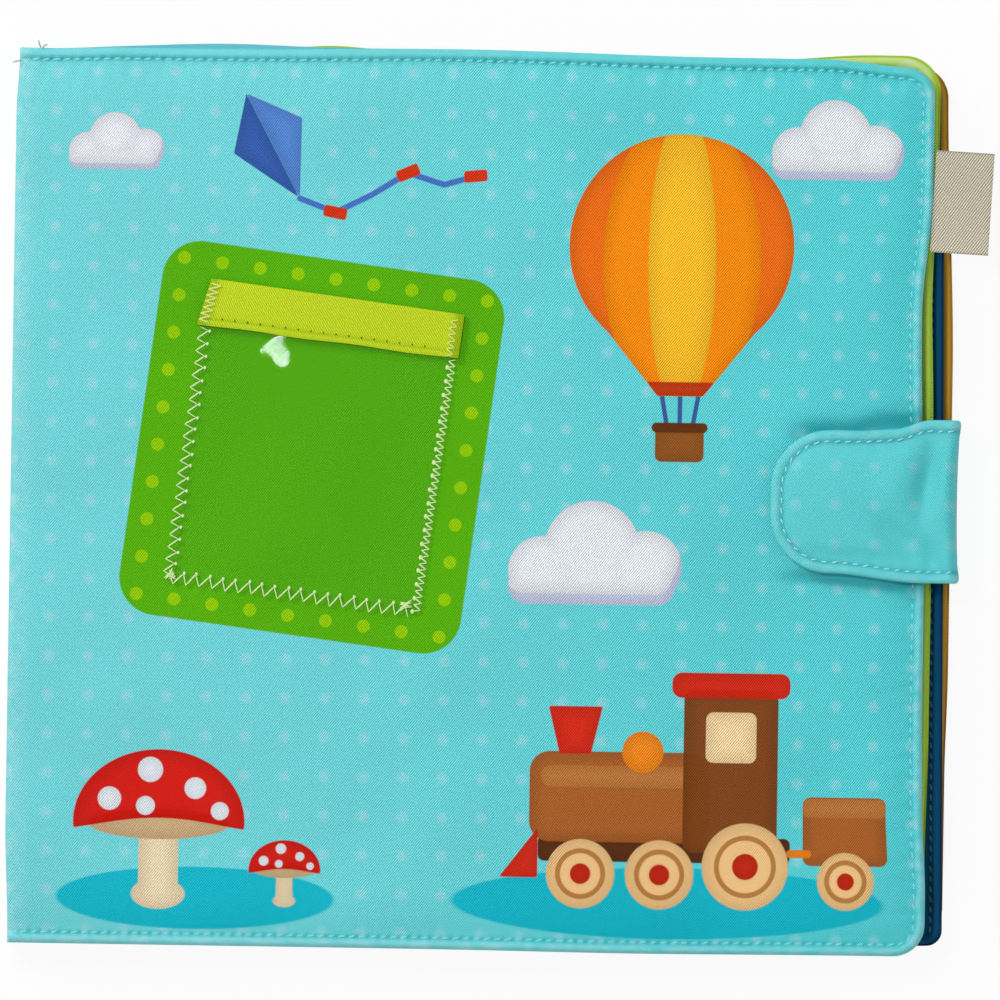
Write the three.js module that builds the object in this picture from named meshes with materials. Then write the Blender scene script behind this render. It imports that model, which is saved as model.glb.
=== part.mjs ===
// Soft photo album: two padded covers and three padded leaves sewn to a cloth spine, a photo
// pocket on every page, a closure tab that comes round the fore-edge, and a side label.
// Millimetres, +Z up. The album lies closed on its back cover: +X runs from the spine to the
// fore-edge, +Y to the top of the pages. The origin is under the middle of the whole album.
import * as THREE from 'three';

// Covers, measured from the outer face of the spine
const COVER_WIDTH = 204.3;
const BACK_COVER_PAST = 1.7; // how far the back cover stands past the front one
const BACK_COVER_WIDTH = COVER_WIDTH + BACK_COVER_PAST;
const COVER_HEIGHT = 198.7;
const COVER_HALF = 2.0; // half the padded thickness
const COVER_CLOTH = 0.6; // one ply of cover cloth
const CORNER_RADIUS = 8;
const FORE_EDGE_BOW = 2.3; // the fore-edge draws in between its corners

// Leaves, from the top one down: how far each stands past the front cover, how much shorter it is
// than the cover, and its rise above the covers' middle
const LEAF_1 = { name: 'leaf_1', past: 0.1, shorter: 0.2, rise: 1.2, bow: 0.9, colour: 0x8dbb3a };
const LEAF_2 = { name: 'leaf_2', past: 2.9, shorter: 1.2, rise: 1.1, bow: 1.3, colour: 0x1d4a78 };
const LEAF_3 = { name: 'leaf_3', past: 3.9, shorter: 3.2, rise: 1.7, bow: 0.5, colour: 0xb07a1e };
const LEAVES = [LEAF_1, LEAF_2, LEAF_3];
const LEAF_HALF = 1.2;
const LEAF_CLOTH = 0.45;

// Sewn border and crown of every padded panel, as distances in from the edge
const STITCH_INSET = 2.5;
const CHANNEL_WIDTH = 1.1; // from the stitch line up to the shoulder
const CROWN_REACH = 13; // where the padding is at its full thickness
const FOLD_REACH = 3; // rounding of a cover at its fold
const ROOT_REACH = 14; // run-out of a leaf to its sewn root
const RIM_LIFT = 0.7; // height of the turned rim, as a share of the crown
const RIM_RISE = 0.8; // share of the rim's height at its outer ring
const RIM_START = 0.3; // outer ring of the rim, as a share of the way to the stitches
const RIM_TOP = 0.65;
const GROOVE_LIFT = 0.12;
const SHOULDER_LIFT = 0.5;
const SWELL_PLACE = 0.4; // from the shoulder to the full crown
const SWELL_LIFT = 0.85;
const ROOT_CROWDING = 1.5; // above 1 the rings lie closer together near the root
const PLY_GAP = 0.15; // between plies that lie on each other
const SEAM_GAP = 0.1; // from the seam's middle plane to each ply

// Spine
const SPINE_CLOTH = 0.6;
const SPINE_LINING = 0.5;
const SPINE_THICKNESS = SPINE_CLOTH + PLY_GAP + SPINE_LINING;
const HINGE_GAP = 0.15; // from a fold line to the cloth above and below it
const ROOT_GAP = 0.3; // between the spine lining and what is sewn to it

// Photo pockets
const WINDOW_THICKNESS = 0.25;
const RIBBON_THICKNESS = 0.3;
const RIBBON_WIDTH = 9;
const FRONT_POCKET = { width: 56, height: 67, fromSpine: 66.8, rise: 12 };
const FRONT_POCKET_TILT = -7.3;
const PAGE_POCKET = { width: 156, height: 108 };
const RIBBON_OVERHANG = 0.6; // the ribbon's ends stand past the window's sides
const WINDOW_CORNER = 2;
const PAGE_GAP = 0.3; // between the ribbons of two facing pages

// Closure tab, with its round end on the front cover
const TAB_CLEARANCE = 0.5; // from the furthest leaf to the wrap
const TAB_HALF = 0.85;
const TAB_CLOTH = 0.5;
const TAB_REACH = 41.5; // from the fold to the round end
const TAB_FOLD_HALF = 18.2; // half width at the fold
const TAB_END_HALF = 15.8;
const TAB_FOLD_RISE = 1.5; // middle of the tab at the fold
const TAB_END_RISE = 0.6;
const TAB_END_RADIUS = 11;
const TAB_GROOVE_LIFT = 0.1;
const TAPE_THICKNESS = 0.7; // hook tape and loop tape
const HOOK_PATCH = { width: 20, height: 18, corner: 3 };
const LOOP_PATCH = { width: 21, height: 20, corner: 3 };
const PATCH_INSET = 3.5; // from the tab's round end to the hook tape

// Side label, a tape folded double
const LABEL_REACH = 12.2; // past the cover's edge
const LABEL_HEIGHT = 22.6;
const LABEL_DROP = 31.25; // from the cover's top edge down to the label's middle
const LABEL_RISE = COVER_HEIGHT / 2 - LABEL_DROP;
const LABEL_TAPE = 0.3;
const LABEL_TILT = -2.9;

// Counts that set how fine the forms are
const SIDE_STEPS = 3;
const ARC_STEPS = 4;
const FORE_EDGE_STEPS = 6;
const ROOT_STEPS = 3;
const CORNER_STEPS = 3;
const LEAST_RADIUS = 1.2;

const degrees = THREE.MathUtils.degToRad;
const lerp = THREE.MathUtils.lerp;
const smooth = (t) => t * t * (3 - 2 * t);

// Heights of the fold lines and of the middle plane of each panel
const POCKET_STACK = 3 * PLY_GAP + 2 * RIBBON_THICKNESS + WINDOW_THICKNESS;
const PAGE_SPACE = 2 * POCKET_STACK + PAGE_GAP;
const BACK_LEVEL = COVER_HALF;
const LEAF_STEP = 2 * LEAF_HALF + PAGE_SPACE;
const BOTTOM_LEAF_LEVEL = BACK_LEVEL + COVER_HALF + PAGE_SPACE + LEAF_HALF;
const leafLevel = (n) => BOTTOM_LEAF_LEVEL + (LEAVES.length - 1 - n) * LEAF_STEP;
const leafReach = (leaf) => COVER_WIDTH + leaf.past;
const FRONT_LEVEL = leafLevel(0) + LEAF_HALF + PAGE_SPACE + COVER_HALF;
const FRONT_FACE = FRONT_LEVEL + COVER_HALF;
const ROOT_LEFT = SPINE_THICKNESS + ROOT_GAP;

// Rings of a padded form, from its edge inwards: how far in, and the share of the crown
const RINGS = 7;
const CHANNEL_RING = 4; // the first ring inside the stitch line
const sewnEdge = [
  { inset: 0, lift: 0 },
  { inset: RIM_START * STITCH_INSET, lift: RIM_RISE * RIM_LIFT },
  { inset: RIM_TOP * STITCH_INSET, lift: RIM_LIFT },
  { inset: STITCH_INSET, lift: GROOVE_LIFT },
  { inset: STITCH_INSET + CHANNEL_WIDTH, lift: SHOULDER_LIFT },
  { inset: lerp(STITCH_INSET + CHANNEL_WIDTH, CROWN_REACH, SWELL_PLACE), lift: SWELL_LIFT },
  { inset: CROWN_REACH, lift: 1 },
];
const tabEdge = [
  { inset: 0, lift: 0 },
  { inset: RIM_START * STITCH_INSET, lift: RIM_RISE },
  { inset: RIM_TOP * STITCH_INSET, lift: 1 },
  { inset: STITCH_INSET, lift: TAB_GROOVE_LIFT },
  { inset: STITCH_INSET + CHANNEL_WIDTH / 2, lift: RIM_RISE },
  { inset: STITCH_INSET + CHANNEL_WIDTH, lift: 1 },
  { inset: STITCH_INSET + 2 * CHANNEL_WIDTH, lift: 1 },
];

// A run of insets from a root or fold, with its lift given by a curve
function rootProfile(reach, curve) {
  return Array.from({ length: RINGS }, (_, k) => {
    const share = (k / (RINGS - 1)) ** ROOT_CROWDING;
    return { inset: reach * share, lift: curve(share) };
  });
}
const foldProfile = rootProfile(FOLD_REACH, (t) => Math.sqrt(1 - (1 - t) ** 2));
const leafRootProfile = rootProfile(ROOT_REACH, smooth);

// One ring of a form's outline, counterclockwise from the root's lower corner, as [x, y, lift].
// The form runs from its root at left to its end at right, and may narrow or drift on the way.
function ringOutline(form, k) {
  const edge = form.edge[k];
  const root = form.root[k];
  const start = form.left + root.inset;
  const end = form.right - edge.inset;
  const radius = Math.max(form.radius - edge.inset, LEAST_RADIUS);
  const along = (x) => (x - form.left) / (form.right - form.left);
  const middle = (x) => lerp(form.rootRise, form.endRise, along(x));
  const half = (x) => lerp(form.rootHalf, form.endHalf, along(x)) - edge.inset;
  const low = (x) => middle(x) - half(x);
  const high = (x) => middle(x) + half(x);
  const points = [];
  const corner = Math.min(edge.lift, root.lift);

  for (let i = 0; i < SIDE_STEPS; i++) {
    const x = lerp(start, end - radius, i / SIDE_STEPS);
    points.push([x, low(x), i === 0 ? corner : edge.lift]);
  }
  for (let i = 0; i <= ARC_STEPS; i++) {
    const angle = (i / ARC_STEPS - 1) * Math.PI / 2;
    const x = end - radius + radius * Math.cos(angle);
    points.push([x, low(end) + radius + radius * Math.sin(angle), edge.lift]);
  }
  for (let i = 1; i < FORE_EDGE_STEPS; i++) {
    const t = i / FORE_EDGE_STEPS;
    const x = end - form.bow * (1 - (2 * t - 1) ** 2);
    points.push([x, lerp(low(end) + radius, high(end) - radius, t), edge.lift]);
  }
  for (let i = 0; i <= ARC_STEPS; i++) {
    const angle = (i / ARC_STEPS) * Math.PI / 2;
    const x = end - radius + radius * Math.cos(angle);
    points.push([x, high(end) - radius + radius * Math.sin(angle), edge.lift]);
  }
  for (let i = 1; i <= SIDE_STEPS; i++) {
    const x = lerp(end - radius, start, i / SIDE_STEPS);
    points.push([x, high(x), i === SIDE_STEPS ? corner : edge.lift]);
  }
  for (let i = 1; i < ROOT_STEPS; i++) {
    points.push([start, lerp(high(start), low(start), i / ROOT_STEPS), root.lift]);
  }
  return points;
}

// The rings of one surface of a padded form. Side is 1 for its upper face and -1 for its lower
// face, and depth is how far the surface lies under the outer one.
function surface(form, side, depth, firstRing = 0) {
  const seam = SEAM_GAP + form.cloth;
  const rings = [];
  for (let k = firstRing; k < RINGS; k++) {
    const height = (lift) => side * (lerp(seam, form.half, lift) - depth);
    rings.push(ringOutline(form, k).map(([x, y, lift]) => [x, y, height(lift)]));
  }
  return rings;
}

// A closed solid between an upper and a lower surface, joined by a wall round the first rings
function loft(upper, lower) {
  const position = [];
  const index = [];
  const addSurface = (rings, isUpper) => {
    const first = position.length / 3;
    rings.forEach((ring) => ring.forEach((point) => position.push(...point)));
    const count = rings[0].length;
    const at = (k, i) => first + k * count + (i % count);
    const face = (a, b, c) => index.push(...(isUpper ? [a, b, c] : [a, c, b]));
    for (let k = 0; k + 1 < rings.length; k++) {
      for (let i = 0; i < count; i++) {
        face(at(k, i), at(k, i + 1), at(k + 1, i + 1));
        face(at(k, i), at(k + 1, i + 1), at(k + 1, i));
      }
    }
    const last = rings[rings.length - 1];
    const centre = position.length / 3;
    position.push(...[0, 1, 2].map((axis) => last.reduce((sum, p) => sum + p[axis], 0) / count));
    for (let i = 0; i < count; i++) {
      face(at(rings.length - 1, i), at(rings.length - 1, i + 1), centre);
    }
    return first;
  };
  const top = addSurface(upper, true);
  const bottom = addSurface(lower, false);
  const count = upper[0].length;
  for (let i = 0; i < count; i++) {
    const next = (i + 1) % count;
    index.push(bottom + i, bottom + next, top + next);
    index.push(bottom + i, top + next, top + i);
  }
  const geometry = new THREE.BufferGeometry();
  geometry.setAttribute('position', new THREE.Float32BufferAttribute(position, 3));
  geometry.setIndex(index);
  geometry.computeVertexNormals();
  return geometry;
}

const upperPly = (form) => loft(surface(form, 1, 0), surface(form, 1, form.cloth));
const lowerPly = (form) => loft(surface(form, -1, form.cloth), surface(form, -1, 0));
const padding = (form) => {
  const depth = form.cloth + PLY_GAP;
  return loft(surface(form, 1, depth, CHANNEL_RING), surface(form, -1, depth, CHANNEL_RING));
};

// Materials
const cloth = (color) => new THREE.MeshStandardMaterial({ color, roughness: 0.75, metalness: 0 });
const coverCloth = () => cloth(0x5fced6);
const coverLining = () => cloth(0x4fbfc8);
const wadding = () => cloth(0xf2f0ea);
const ribbonCloth = () => cloth(0xbfd52c);
const labelTape = () => cloth(0xd8d2bf);
const tape = () => cloth(0x6fcdd3);
const clearVinyl = () => new THREE.MeshStandardMaterial({
  color: 0xeaf6f4,
  roughness: 0.12,
  metalness: 0,
  transparent: true,
  opacity: 0.3,
});

const album = new THREE.Group();

function addMesh(parent, name, geometry, material) {
  const mesh = new THREE.Mesh(geometry, material);
  mesh.name = name;
  parent.add(mesh);
  return mesh;
}

function addGroup(parent, x, y, z) {
  const group = new THREE.Group();
  group.position.set(x, y, z);
  parent.add(group);
  return group;
}

// A flat outline in the plane across the panel, drawn out along X or along Y
function extrudeAlongX(shape, length) {
  const geometry = new THREE.ExtrudeGeometry(shape, { depth: length, bevelEnabled: false });
  const [x, y, z] = [[1, 0, 0], [0, 1, 0], [0, 0, 1]].map((v) => new THREE.Vector3(...v));
  return geometry.applyMatrix4(new THREE.Matrix4().makeBasis(y, z, x));
}

function extrudeAlongY(shape, length) {
  const geometry = new THREE.ExtrudeGeometry(shape, { depth: length, bevelEnabled: false });
  return geometry.rotateX(Math.PI / 2);
}

function roundedPlate(width, height, radius, thickness) {
  const shape = new THREE.Shape();
  const [w, h] = [width / 2, height / 2];
  shape.moveTo(-w + radius, -h);
  shape.lineTo(w - radius, -h);
  shape.absarc(w - radius, -h + radius, radius, -Math.PI / 2, 0);
  shape.absarc(w - radius, h - radius, radius, 0, Math.PI / 2);
  shape.absarc(-w + radius, h - radius, radius, Math.PI / 2, Math.PI);
  shape.absarc(-w + radius, -h + radius, radius, Math.PI, 1.5 * Math.PI);
  const options = { depth: thickness, bevelEnabled: false, curveSegments: CORNER_STEPS };
  return new THREE.ExtrudeGeometry(shape, options);
}

// A tape folded double round an edge: the fold is at 0 and the two legs run to minus width
function foldedTape(width, thickness, space) {
  const outer = 2 * thickness + space;
  return new THREE.Shape([
    [-width, 0],
    [0, 0],
    [0, outer],
    [-width, outer],
    [-width, outer - thickness],
    [-thickness, outer - thickness],
    [-thickness, thickness],
    [-width, thickness],
  ].map(([x, y]) => new THREE.Vector2(x, y)));
}

// A photo pocket: the ribbon is folded over the open top edge of the clear window. The group's
// origin is the middle of the pocket, on the cloth that it is sewn to.
function addPocket(parent, prefix, size, x, y, z) {
  const group = addGroup(parent, x, y, z);
  const space = WINDOW_THICKNESS + 2 * PLY_GAP;
  const windowTop = size.height / 2 - RIBBON_THICKNESS - PLY_GAP;
  const windowHeight = windowTop + size.height / 2;
  const sheet = roundedPlate(size.width, windowHeight, WINDOW_CORNER, WINDOW_THICKNESS);
  const pane = addMesh(group, `${prefix}_window`, sheet, clearVinyl());
  const windowLevel = RIBBON_THICKNESS + 2 * PLY_GAP;
  pane.position.set(0, windowTop - windowHeight / 2, windowLevel);
  const ribbonLength = size.width + 2 * RIBBON_OVERHANG;
  const section = foldedTape(RIBBON_WIDTH, RIBBON_THICKNESS, space);
  const ribbon = addMesh(group, `${prefix}_ribbon`, extrudeAlongX(section, ribbonLength),
    ribbonCloth());
  ribbon.position.set(-ribbonLength / 2, size.height / 2, PLY_GAP);
  return group;
}

// Turns a pocket to the lower face of its page, with its opening still towards the top
function turnOver(group) {
  group.rotation.y = Math.PI;
}

function coverForm(width, left) {
  return {
    left,
    right: width,
    rootHalf: COVER_HEIGHT / 2,
    endHalf: COVER_HEIGHT / 2,
    rootRise: 0,
    endRise: 0,
    radius: CORNER_RADIUS,
    bow: FORE_EDGE_BOW,
    edge: sewnEdge,
    root: foldProfile,
    half: COVER_HALF,
    cloth: COVER_CLOTH,
  };
}

// A stretch of the spine between two fold lines, as an outer cloth and a lining
function addSpineStretch(suffix, bottom, top) {
  const height = top - bottom - 2 * HINGE_GAP;
  const strip = (name, left, thickness, material) => {
    const geometry = new THREE.BoxGeometry(thickness, COVER_HEIGHT, height);
    const mesh = addMesh(album, name, geometry, material);
    mesh.position.set(left + thickness / 2, 0, bottom + HINGE_GAP + height / 2);
  };
  strip(`spine_cloth_${suffix}`, 0, SPINE_CLOTH, coverCloth());
  strip(`spine_lining_${suffix}`, SPINE_CLOTH + PLY_GAP, SPINE_LINING, coverLining());
}

// The middle of a page pocket, between the run-out at the spine and the fore-edge
const pageMiddle = (reach) => (ROOT_LEFT + reach) / 2;

// How far a cover reaches from the spine, y above its middle, where its fore-edge draws in
function coverEdge(width, y) {
  const straight = COVER_HEIGHT / 2 - CORNER_RADIUS;
  return width - FORE_EDGE_BOW * (1 - (y / straight) ** 2);
}

function addBackCover() {
  const skin = coverForm(BACK_COVER_WIDTH, 0);
  const inside = coverForm(BACK_COVER_WIDTH, ROOT_LEFT);
  const panel = addGroup(album, 0, 0, BACK_LEVEL);
  addMesh(panel, 'back_cover_cloth', lowerPly(skin), coverCloth());
  addMesh(panel, 'back_cover_wadding', padding(inside), wadding());
  addMesh(panel, 'back_cover_lining', upperPly(inside), coverLining());
  addPocket(panel, 'back_inner', PAGE_POCKET, pageMiddle(BACK_COVER_WIDTH), 0, COVER_HALF);
  addSpineStretch('back', BACK_LEVEL, leafLevel(LEAVES.length - 1));
}

function addLeaf(leaf, n) {
  const halfHeight = (COVER_HEIGHT - leaf.shorter) / 2;
  const form = {
    left: ROOT_LEFT,
    right: leafReach(leaf),
    rootHalf: halfHeight,
    endHalf: halfHeight,
    rootRise: leaf.rise,
    endRise: leaf.rise,
    radius: CORNER_RADIUS,
    bow: leaf.bow,
    edge: sewnEdge,
    root: leafRootProfile,
    half: LEAF_HALF,
    cloth: LEAF_CLOTH,
  };
  const level = leafLevel(n);
  const panel = addGroup(album, 0, 0, level);
  addMesh(panel, `${leaf.name}_front_cloth`, upperPly(form), cloth(leaf.colour));
  addMesh(panel, `${leaf.name}_wadding`, padding(form), wadding());
  addMesh(panel, `${leaf.name}_back_cloth`, lowerPly(form), cloth(leaf.colour));
  const middle = pageMiddle(leafReach(leaf));
  addPocket(panel, `${leaf.name}_front`, PAGE_POCKET, middle, leaf.rise, LEAF_HALF);
  turnOver(addPocket(panel, `${leaf.name}_back`, PAGE_POCKET, middle, leaf.rise, -LEAF_HALF));
  addSpineStretch(leaf.name, level, n === 0 ? FRONT_LEVEL : leafLevel(n - 1));
}

// The tab's middle plane, and the outer face of its wrap
const TAPE_STACK = 2 * TAPE_THICKNESS + 3 * PLY_GAP;
const TAB_LEVEL = FRONT_FACE + TAPE_STACK + TAB_HALF;
const TAB_FACE = Math.max(COVER_WIDTH, BACK_COVER_WIDTH, ...LEAVES.map(leafReach))
  + TAB_CLEARANCE + 2 * TAB_HALF;
const HOOK_MIDDLE = TAB_FACE - TAB_REACH + PATCH_INSET + HOOK_PATCH.width / 2;

function addFrontCover() {
  const skin = coverForm(COVER_WIDTH, 0);
  const inside = coverForm(COVER_WIDTH, ROOT_LEFT);
  const panel = addGroup(album, 0, 0, FRONT_LEVEL);
  addMesh(panel, 'front_cover_cloth', upperPly(skin), coverCloth());
  addMesh(panel, 'front_cover_wadding', padding(inside), wadding());
  addMesh(panel, 'front_cover_lining', lowerPly(inside), coverLining());
  const pocket = addPocket(panel, 'front_pocket', FRONT_POCKET, FRONT_POCKET.fromSpine,
    FRONT_POCKET.rise, COVER_HALF);
  pocket.rotation.z = degrees(FRONT_POCKET_TILT);
  turnOver(addPocket(panel, 'front_inner', PAGE_POCKET, pageMiddle(COVER_WIDTH), 0,
    -COVER_HALF));
  const patch = roundedPlate(LOOP_PATCH.width, LOOP_PATCH.height, LOOP_PATCH.corner,
    TAPE_THICKNESS);
  const loop = addMesh(panel, 'cover_loop_patch', patch, tape());
  loop.position.set(HOOK_MIDDLE, TAB_END_RISE, COVER_HALF + PLY_GAP);
}

// The side label stands out of the front cover's fore-edge seam
function addSideLabel() {
  const lean = Math.tan(degrees(LABEL_TILT));
  const seat = [-0.5, 0, 0.5].map((share) => share * LABEL_HEIGHT)
    .map((y) => coverEdge(COVER_WIDTH, LABEL_RISE + y) + lean * y);
  const edge = Math.max(...seat) + ROOT_GAP;
  const group = addGroup(album, edge, LABEL_RISE, FRONT_LEVEL - LABEL_TAPE - SEAM_GAP);
  const section = foldedTape(LABEL_REACH, LABEL_TAPE, 2 * SEAM_GAP);
  const label = addMesh(group, 'side_label', extrudeAlongY(section, LABEL_HEIGHT), labelTape());
  label.position.set(LABEL_REACH, LABEL_HEIGHT / 2, 0);
  group.rotation.z = degrees(LABEL_TILT);
}

// The outer face of the tab across its width, with its sewn rims, as [y, z]
function strapFace(half) {
  const seam = SEAM_GAP + TAB_CLOTH;
  const right = tabEdge.map(({ inset, lift }) => [half - inset, lerp(seam, TAB_HALF, lift)]);
  const left = right.map(([y, z]) => [-y, z]);
  return [...left, ...right.reverse()];
}

const sectionOf = (points) => new THREE.Shape(points.map(([y, z]) => new THREE.Vector2(y, z)));

// The cross-section of one ply of the tab. Side is 1 or -1 for its two faces.
function plySection(half, side) {
  const outer = strapFace(half).map(([y, z]) => [y, side * z]);
  const inner = strapFace(half).map(([y, z]) => [y, side * (z - TAB_CLOTH)]);
  return sectionOf([...outer, ...inner.reverse()]);
}

// The tab: a short root in the back cover's seam, the wrap round the fore-edge, and the end
function addTab() {
  const reach = Math.abs(TAB_FOLD_RISE) + TAB_FOLD_HALF;
  const rootStart = coverEdge(BACK_COVER_WIDTH, reach) + ROOT_GAP;
  const rootEnd = TAB_FACE - 2 * TAB_HALF - HINGE_GAP;
  const face = strapFace(TAB_FOLD_HALF);
  const section = sectionOf([...face, ...[...face].reverse().map(([y, z]) => [y, -z])]);
  const root = addMesh(album, 'tab_root', extrudeAlongX(section, rootEnd - rootStart),
    coverCloth());
  root.position.set(rootStart, TAB_FOLD_RISE, BACK_LEVEL);

  const wrapBottom = BACK_LEVEL - TAB_HALF;
  const wrapTop = TAB_LEVEL - TAB_HALF - HINGE_GAP;
  const addWrap = (name, side, material) => {
    const ply = extrudeAlongX(plySection(TAB_FOLD_HALF, side), wrapTop - wrapBottom);
    const mesh = addMesh(album, name, ply, material);
    mesh.rotation.y = -Math.PI / 2;
    mesh.position.set(TAB_FACE - TAB_HALF, TAB_FOLD_RISE, wrapBottom);
  };
  addWrap('tab_wrap_cloth', -1, coverCloth());
  addWrap('tab_wrap_lining', 1, coverLining());

  const end = {
    left: 0,
    right: TAB_REACH,
    rootHalf: TAB_FOLD_HALF,
    endHalf: TAB_END_HALF,
    rootRise: TAB_FOLD_RISE,
    endRise: TAB_END_RISE,
    radius: TAB_END_RADIUS,
    bow: 0,
    edge: tabEdge,
    root: rootProfile(TAB_HALF, () => 1),
    half: TAB_HALF,
    cloth: TAB_CLOTH,
  };
  const addEnd = (name, geometry, material) => {
    const mesh = addMesh(album, name, geometry, material);
    mesh.rotation.y = Math.PI;
    mesh.position.set(TAB_FACE, 0, TAB_LEVEL);
  };
  addEnd('tab_end_cloth', lowerPly(end), coverCloth());
  addEnd('tab_end_lining', upperPly(end), coverLining());
  const hook = roundedPlate(HOOK_PATCH.width, HOOK_PATCH.height, HOOK_PATCH.corner,
    TAPE_THICKNESS);
  addMesh(album, 'tab_hook_patch', hook, tape()).position
    .set(HOOK_MIDDLE, TAB_END_RISE, FRONT_FACE + 2 * PLY_GAP + TAPE_THICKNESS);
}

addBackCover();
LEAVES.forEach(addLeaf);
addFrontCover();
addSideLabel();
addTab();

// The origin goes under the middle of the album
const bounds = new THREE.Box3().setFromObject(album, true);
const centre = bounds.getCenter(new THREE.Vector3());
album.position.set(-centre.x, -centre.y, -bounds.min.z);

export default album;
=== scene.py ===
"""Looks of the soft photo album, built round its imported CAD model.

Lengths are millimetres, in the model's own frame, and turn into metres when a mesh is made.
Reach is measured from the outer face of the spine, rise from the middle of the covers.
"""

import math

import bmesh
import bpy
import numpy as np
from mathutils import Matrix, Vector


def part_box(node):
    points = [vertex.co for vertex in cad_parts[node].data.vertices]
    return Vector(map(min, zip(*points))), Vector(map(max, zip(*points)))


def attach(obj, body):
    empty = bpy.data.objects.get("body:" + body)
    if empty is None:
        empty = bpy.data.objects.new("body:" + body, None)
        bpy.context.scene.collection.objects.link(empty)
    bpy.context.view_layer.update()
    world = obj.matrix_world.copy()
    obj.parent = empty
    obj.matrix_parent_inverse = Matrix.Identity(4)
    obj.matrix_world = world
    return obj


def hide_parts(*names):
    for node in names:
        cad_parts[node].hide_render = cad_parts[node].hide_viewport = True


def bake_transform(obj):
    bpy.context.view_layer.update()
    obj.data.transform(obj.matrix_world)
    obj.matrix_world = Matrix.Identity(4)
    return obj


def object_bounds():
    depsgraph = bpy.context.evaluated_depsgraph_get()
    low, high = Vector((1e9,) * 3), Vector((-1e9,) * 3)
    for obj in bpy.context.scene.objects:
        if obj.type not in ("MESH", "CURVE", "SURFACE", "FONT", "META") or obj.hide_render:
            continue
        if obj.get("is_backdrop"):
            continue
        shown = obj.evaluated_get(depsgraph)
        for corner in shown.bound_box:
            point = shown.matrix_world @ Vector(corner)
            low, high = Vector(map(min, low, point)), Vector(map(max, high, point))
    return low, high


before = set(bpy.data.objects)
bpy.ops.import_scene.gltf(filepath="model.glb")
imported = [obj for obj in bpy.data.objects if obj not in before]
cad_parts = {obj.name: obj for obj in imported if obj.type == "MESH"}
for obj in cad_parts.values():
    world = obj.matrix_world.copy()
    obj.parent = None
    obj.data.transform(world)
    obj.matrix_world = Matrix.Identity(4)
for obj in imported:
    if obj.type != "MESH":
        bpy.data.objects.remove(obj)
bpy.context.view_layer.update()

MM = 0.001


def box(node):
    """Lowest and highest corner of a CAD node, in millimetres."""
    low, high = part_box(node)
    return np.array(low) / MM, np.array(high) / MM


# Places that the CAD gives
COVER_LOW, COVER_HIGH = box("front_cover_cloth")
SPINE = COVER_LOW[0]
COVER_REACH = COVER_HIGH[0] - SPINE
MIDDLE = (COVER_LOW[1] + COVER_HIGH[1]) / 2
COVER_HALF = (COVER_HIGH[1] - COVER_LOW[1]) / 2
FRONT_SEAM = (COVER_LOW[2] + box("front_cover_lining")[1][2]) / 2
BACK_SEAM = (box("back_cover_lining")[0][2] + box("back_cover_cloth")[1][2]) / 2
LEAF_SEAMS = {
    n: (box(f"leaf_{n}_front_cloth")[0][2] + box(f"leaf_{n}_back_cloth")[1][2]) / 2
    for n in (1, 2, 3)
}

# Sewing
STITCH_INSET = 2.5
LEAF_INSET = 2.1
STITCH_PITCH = 2.3
STITCH_LENGTH = 1.5
THREAD_RADIUS = 0.23
GROOVE_WIDTH = 0.55
PUCKER_START = 1.6
PUCKER_RATIO = 1.62
CROWN_REACH = 13
CLOTH_THICKNESS = 0.6
HOLE_PITCH = 2.83

# Front pocket, and the pockets on the pages
POCKET_LEAN = math.radians(-7.3)
POCKET_SIZE = (56, 67)
PAGE_POCKET_SIZE = (156, 108)
RIBBON_WIDTH = 10.2

# Printed dots
DOT_PITCH = (8.77, 8.64)
DOT_START = (8.95, 85.4)
DOT_EDGE = (1.9, 0.5)

# Reaches between which printed cloth loses the painted sheen that pales it near the spine, and the weave
# loses its contrast near the spine
PAINTED_SHEEN_REACH = (30, 205)
PAINTED_SHEEN_SHARE = 0.075
WEAVE_REACH = (20, 190)

# Printed inks: softness of the edge, how far the shade reaches in from it, and share of the shine
INK_EDGE = 0.12
INK_SHADE = 3.2
INK_SHINE = 0.15


def smooth(value, start, end):
    """0 before start, 1 after end, and a smooth step between."""
    t = np.clip((value - start) / (end - start), 0, 1)
    return t * t * (3 - 2 * t)


def bump(value, middle, width):
    return np.exp(-((value - middle) / width) ** 2)


def linear(code):
    """A colour written as six hex digits, in linear light."""
    parts = [int(code[i:i + 2], 16) / 255 for i in (0, 2, 4)]
    return [p / 12.92 if p <= 0.04045 else ((p + 0.055) / 1.055) ** 2.4 for p in parts] + [1.0]


# Meshes

def add_object(name, data):
    thing = bpy.data.objects.new(name, data)
    bpy.context.scene.collection.objects.link(thing)
    return thing


def make_piece(name, shape, material, body, slot, *nodes, layers=None):
    """A piece from (points, faces) in millimetres, with point layers that its material reads.

    It rides on a body where one is given, and stands for the CAD nodes that are named.
    """
    points, faces = shape
    mesh = bpy.data.meshes.new(name)
    mesh.from_pydata((np.asarray(points) * MM).tolist(), [], faces)
    for key, values in (layers or {}).items():
        values = np.asarray(values, np.float32)
        kind, field = ("FLOAT_VECTOR", "vector") if values.ndim == 2 else ("FLOAT", "value")
        mesh.attributes.new(key, kind, "POINT").data.foreach_set(field, values.ravel())
    work = bmesh.new()
    work.from_mesh(mesh)
    bmesh.ops.remove_doubles(work, verts=work.verts, dist=1e-7)
    bmesh.ops.recalc_face_normals(work, faces=work.faces)
    work.to_mesh(mesh)
    work.free()
    mesh.polygons.foreach_set("use_smooth", [True] * len(mesh.polygons))
    mesh.set_sharp_from_angle(angle=math.radians(50))
    mesh.materials.append(material)
    piece = add_object(name, mesh)
    if body:
        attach(piece, body)
    if nodes:
        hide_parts(*nodes)
    return piece


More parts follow.
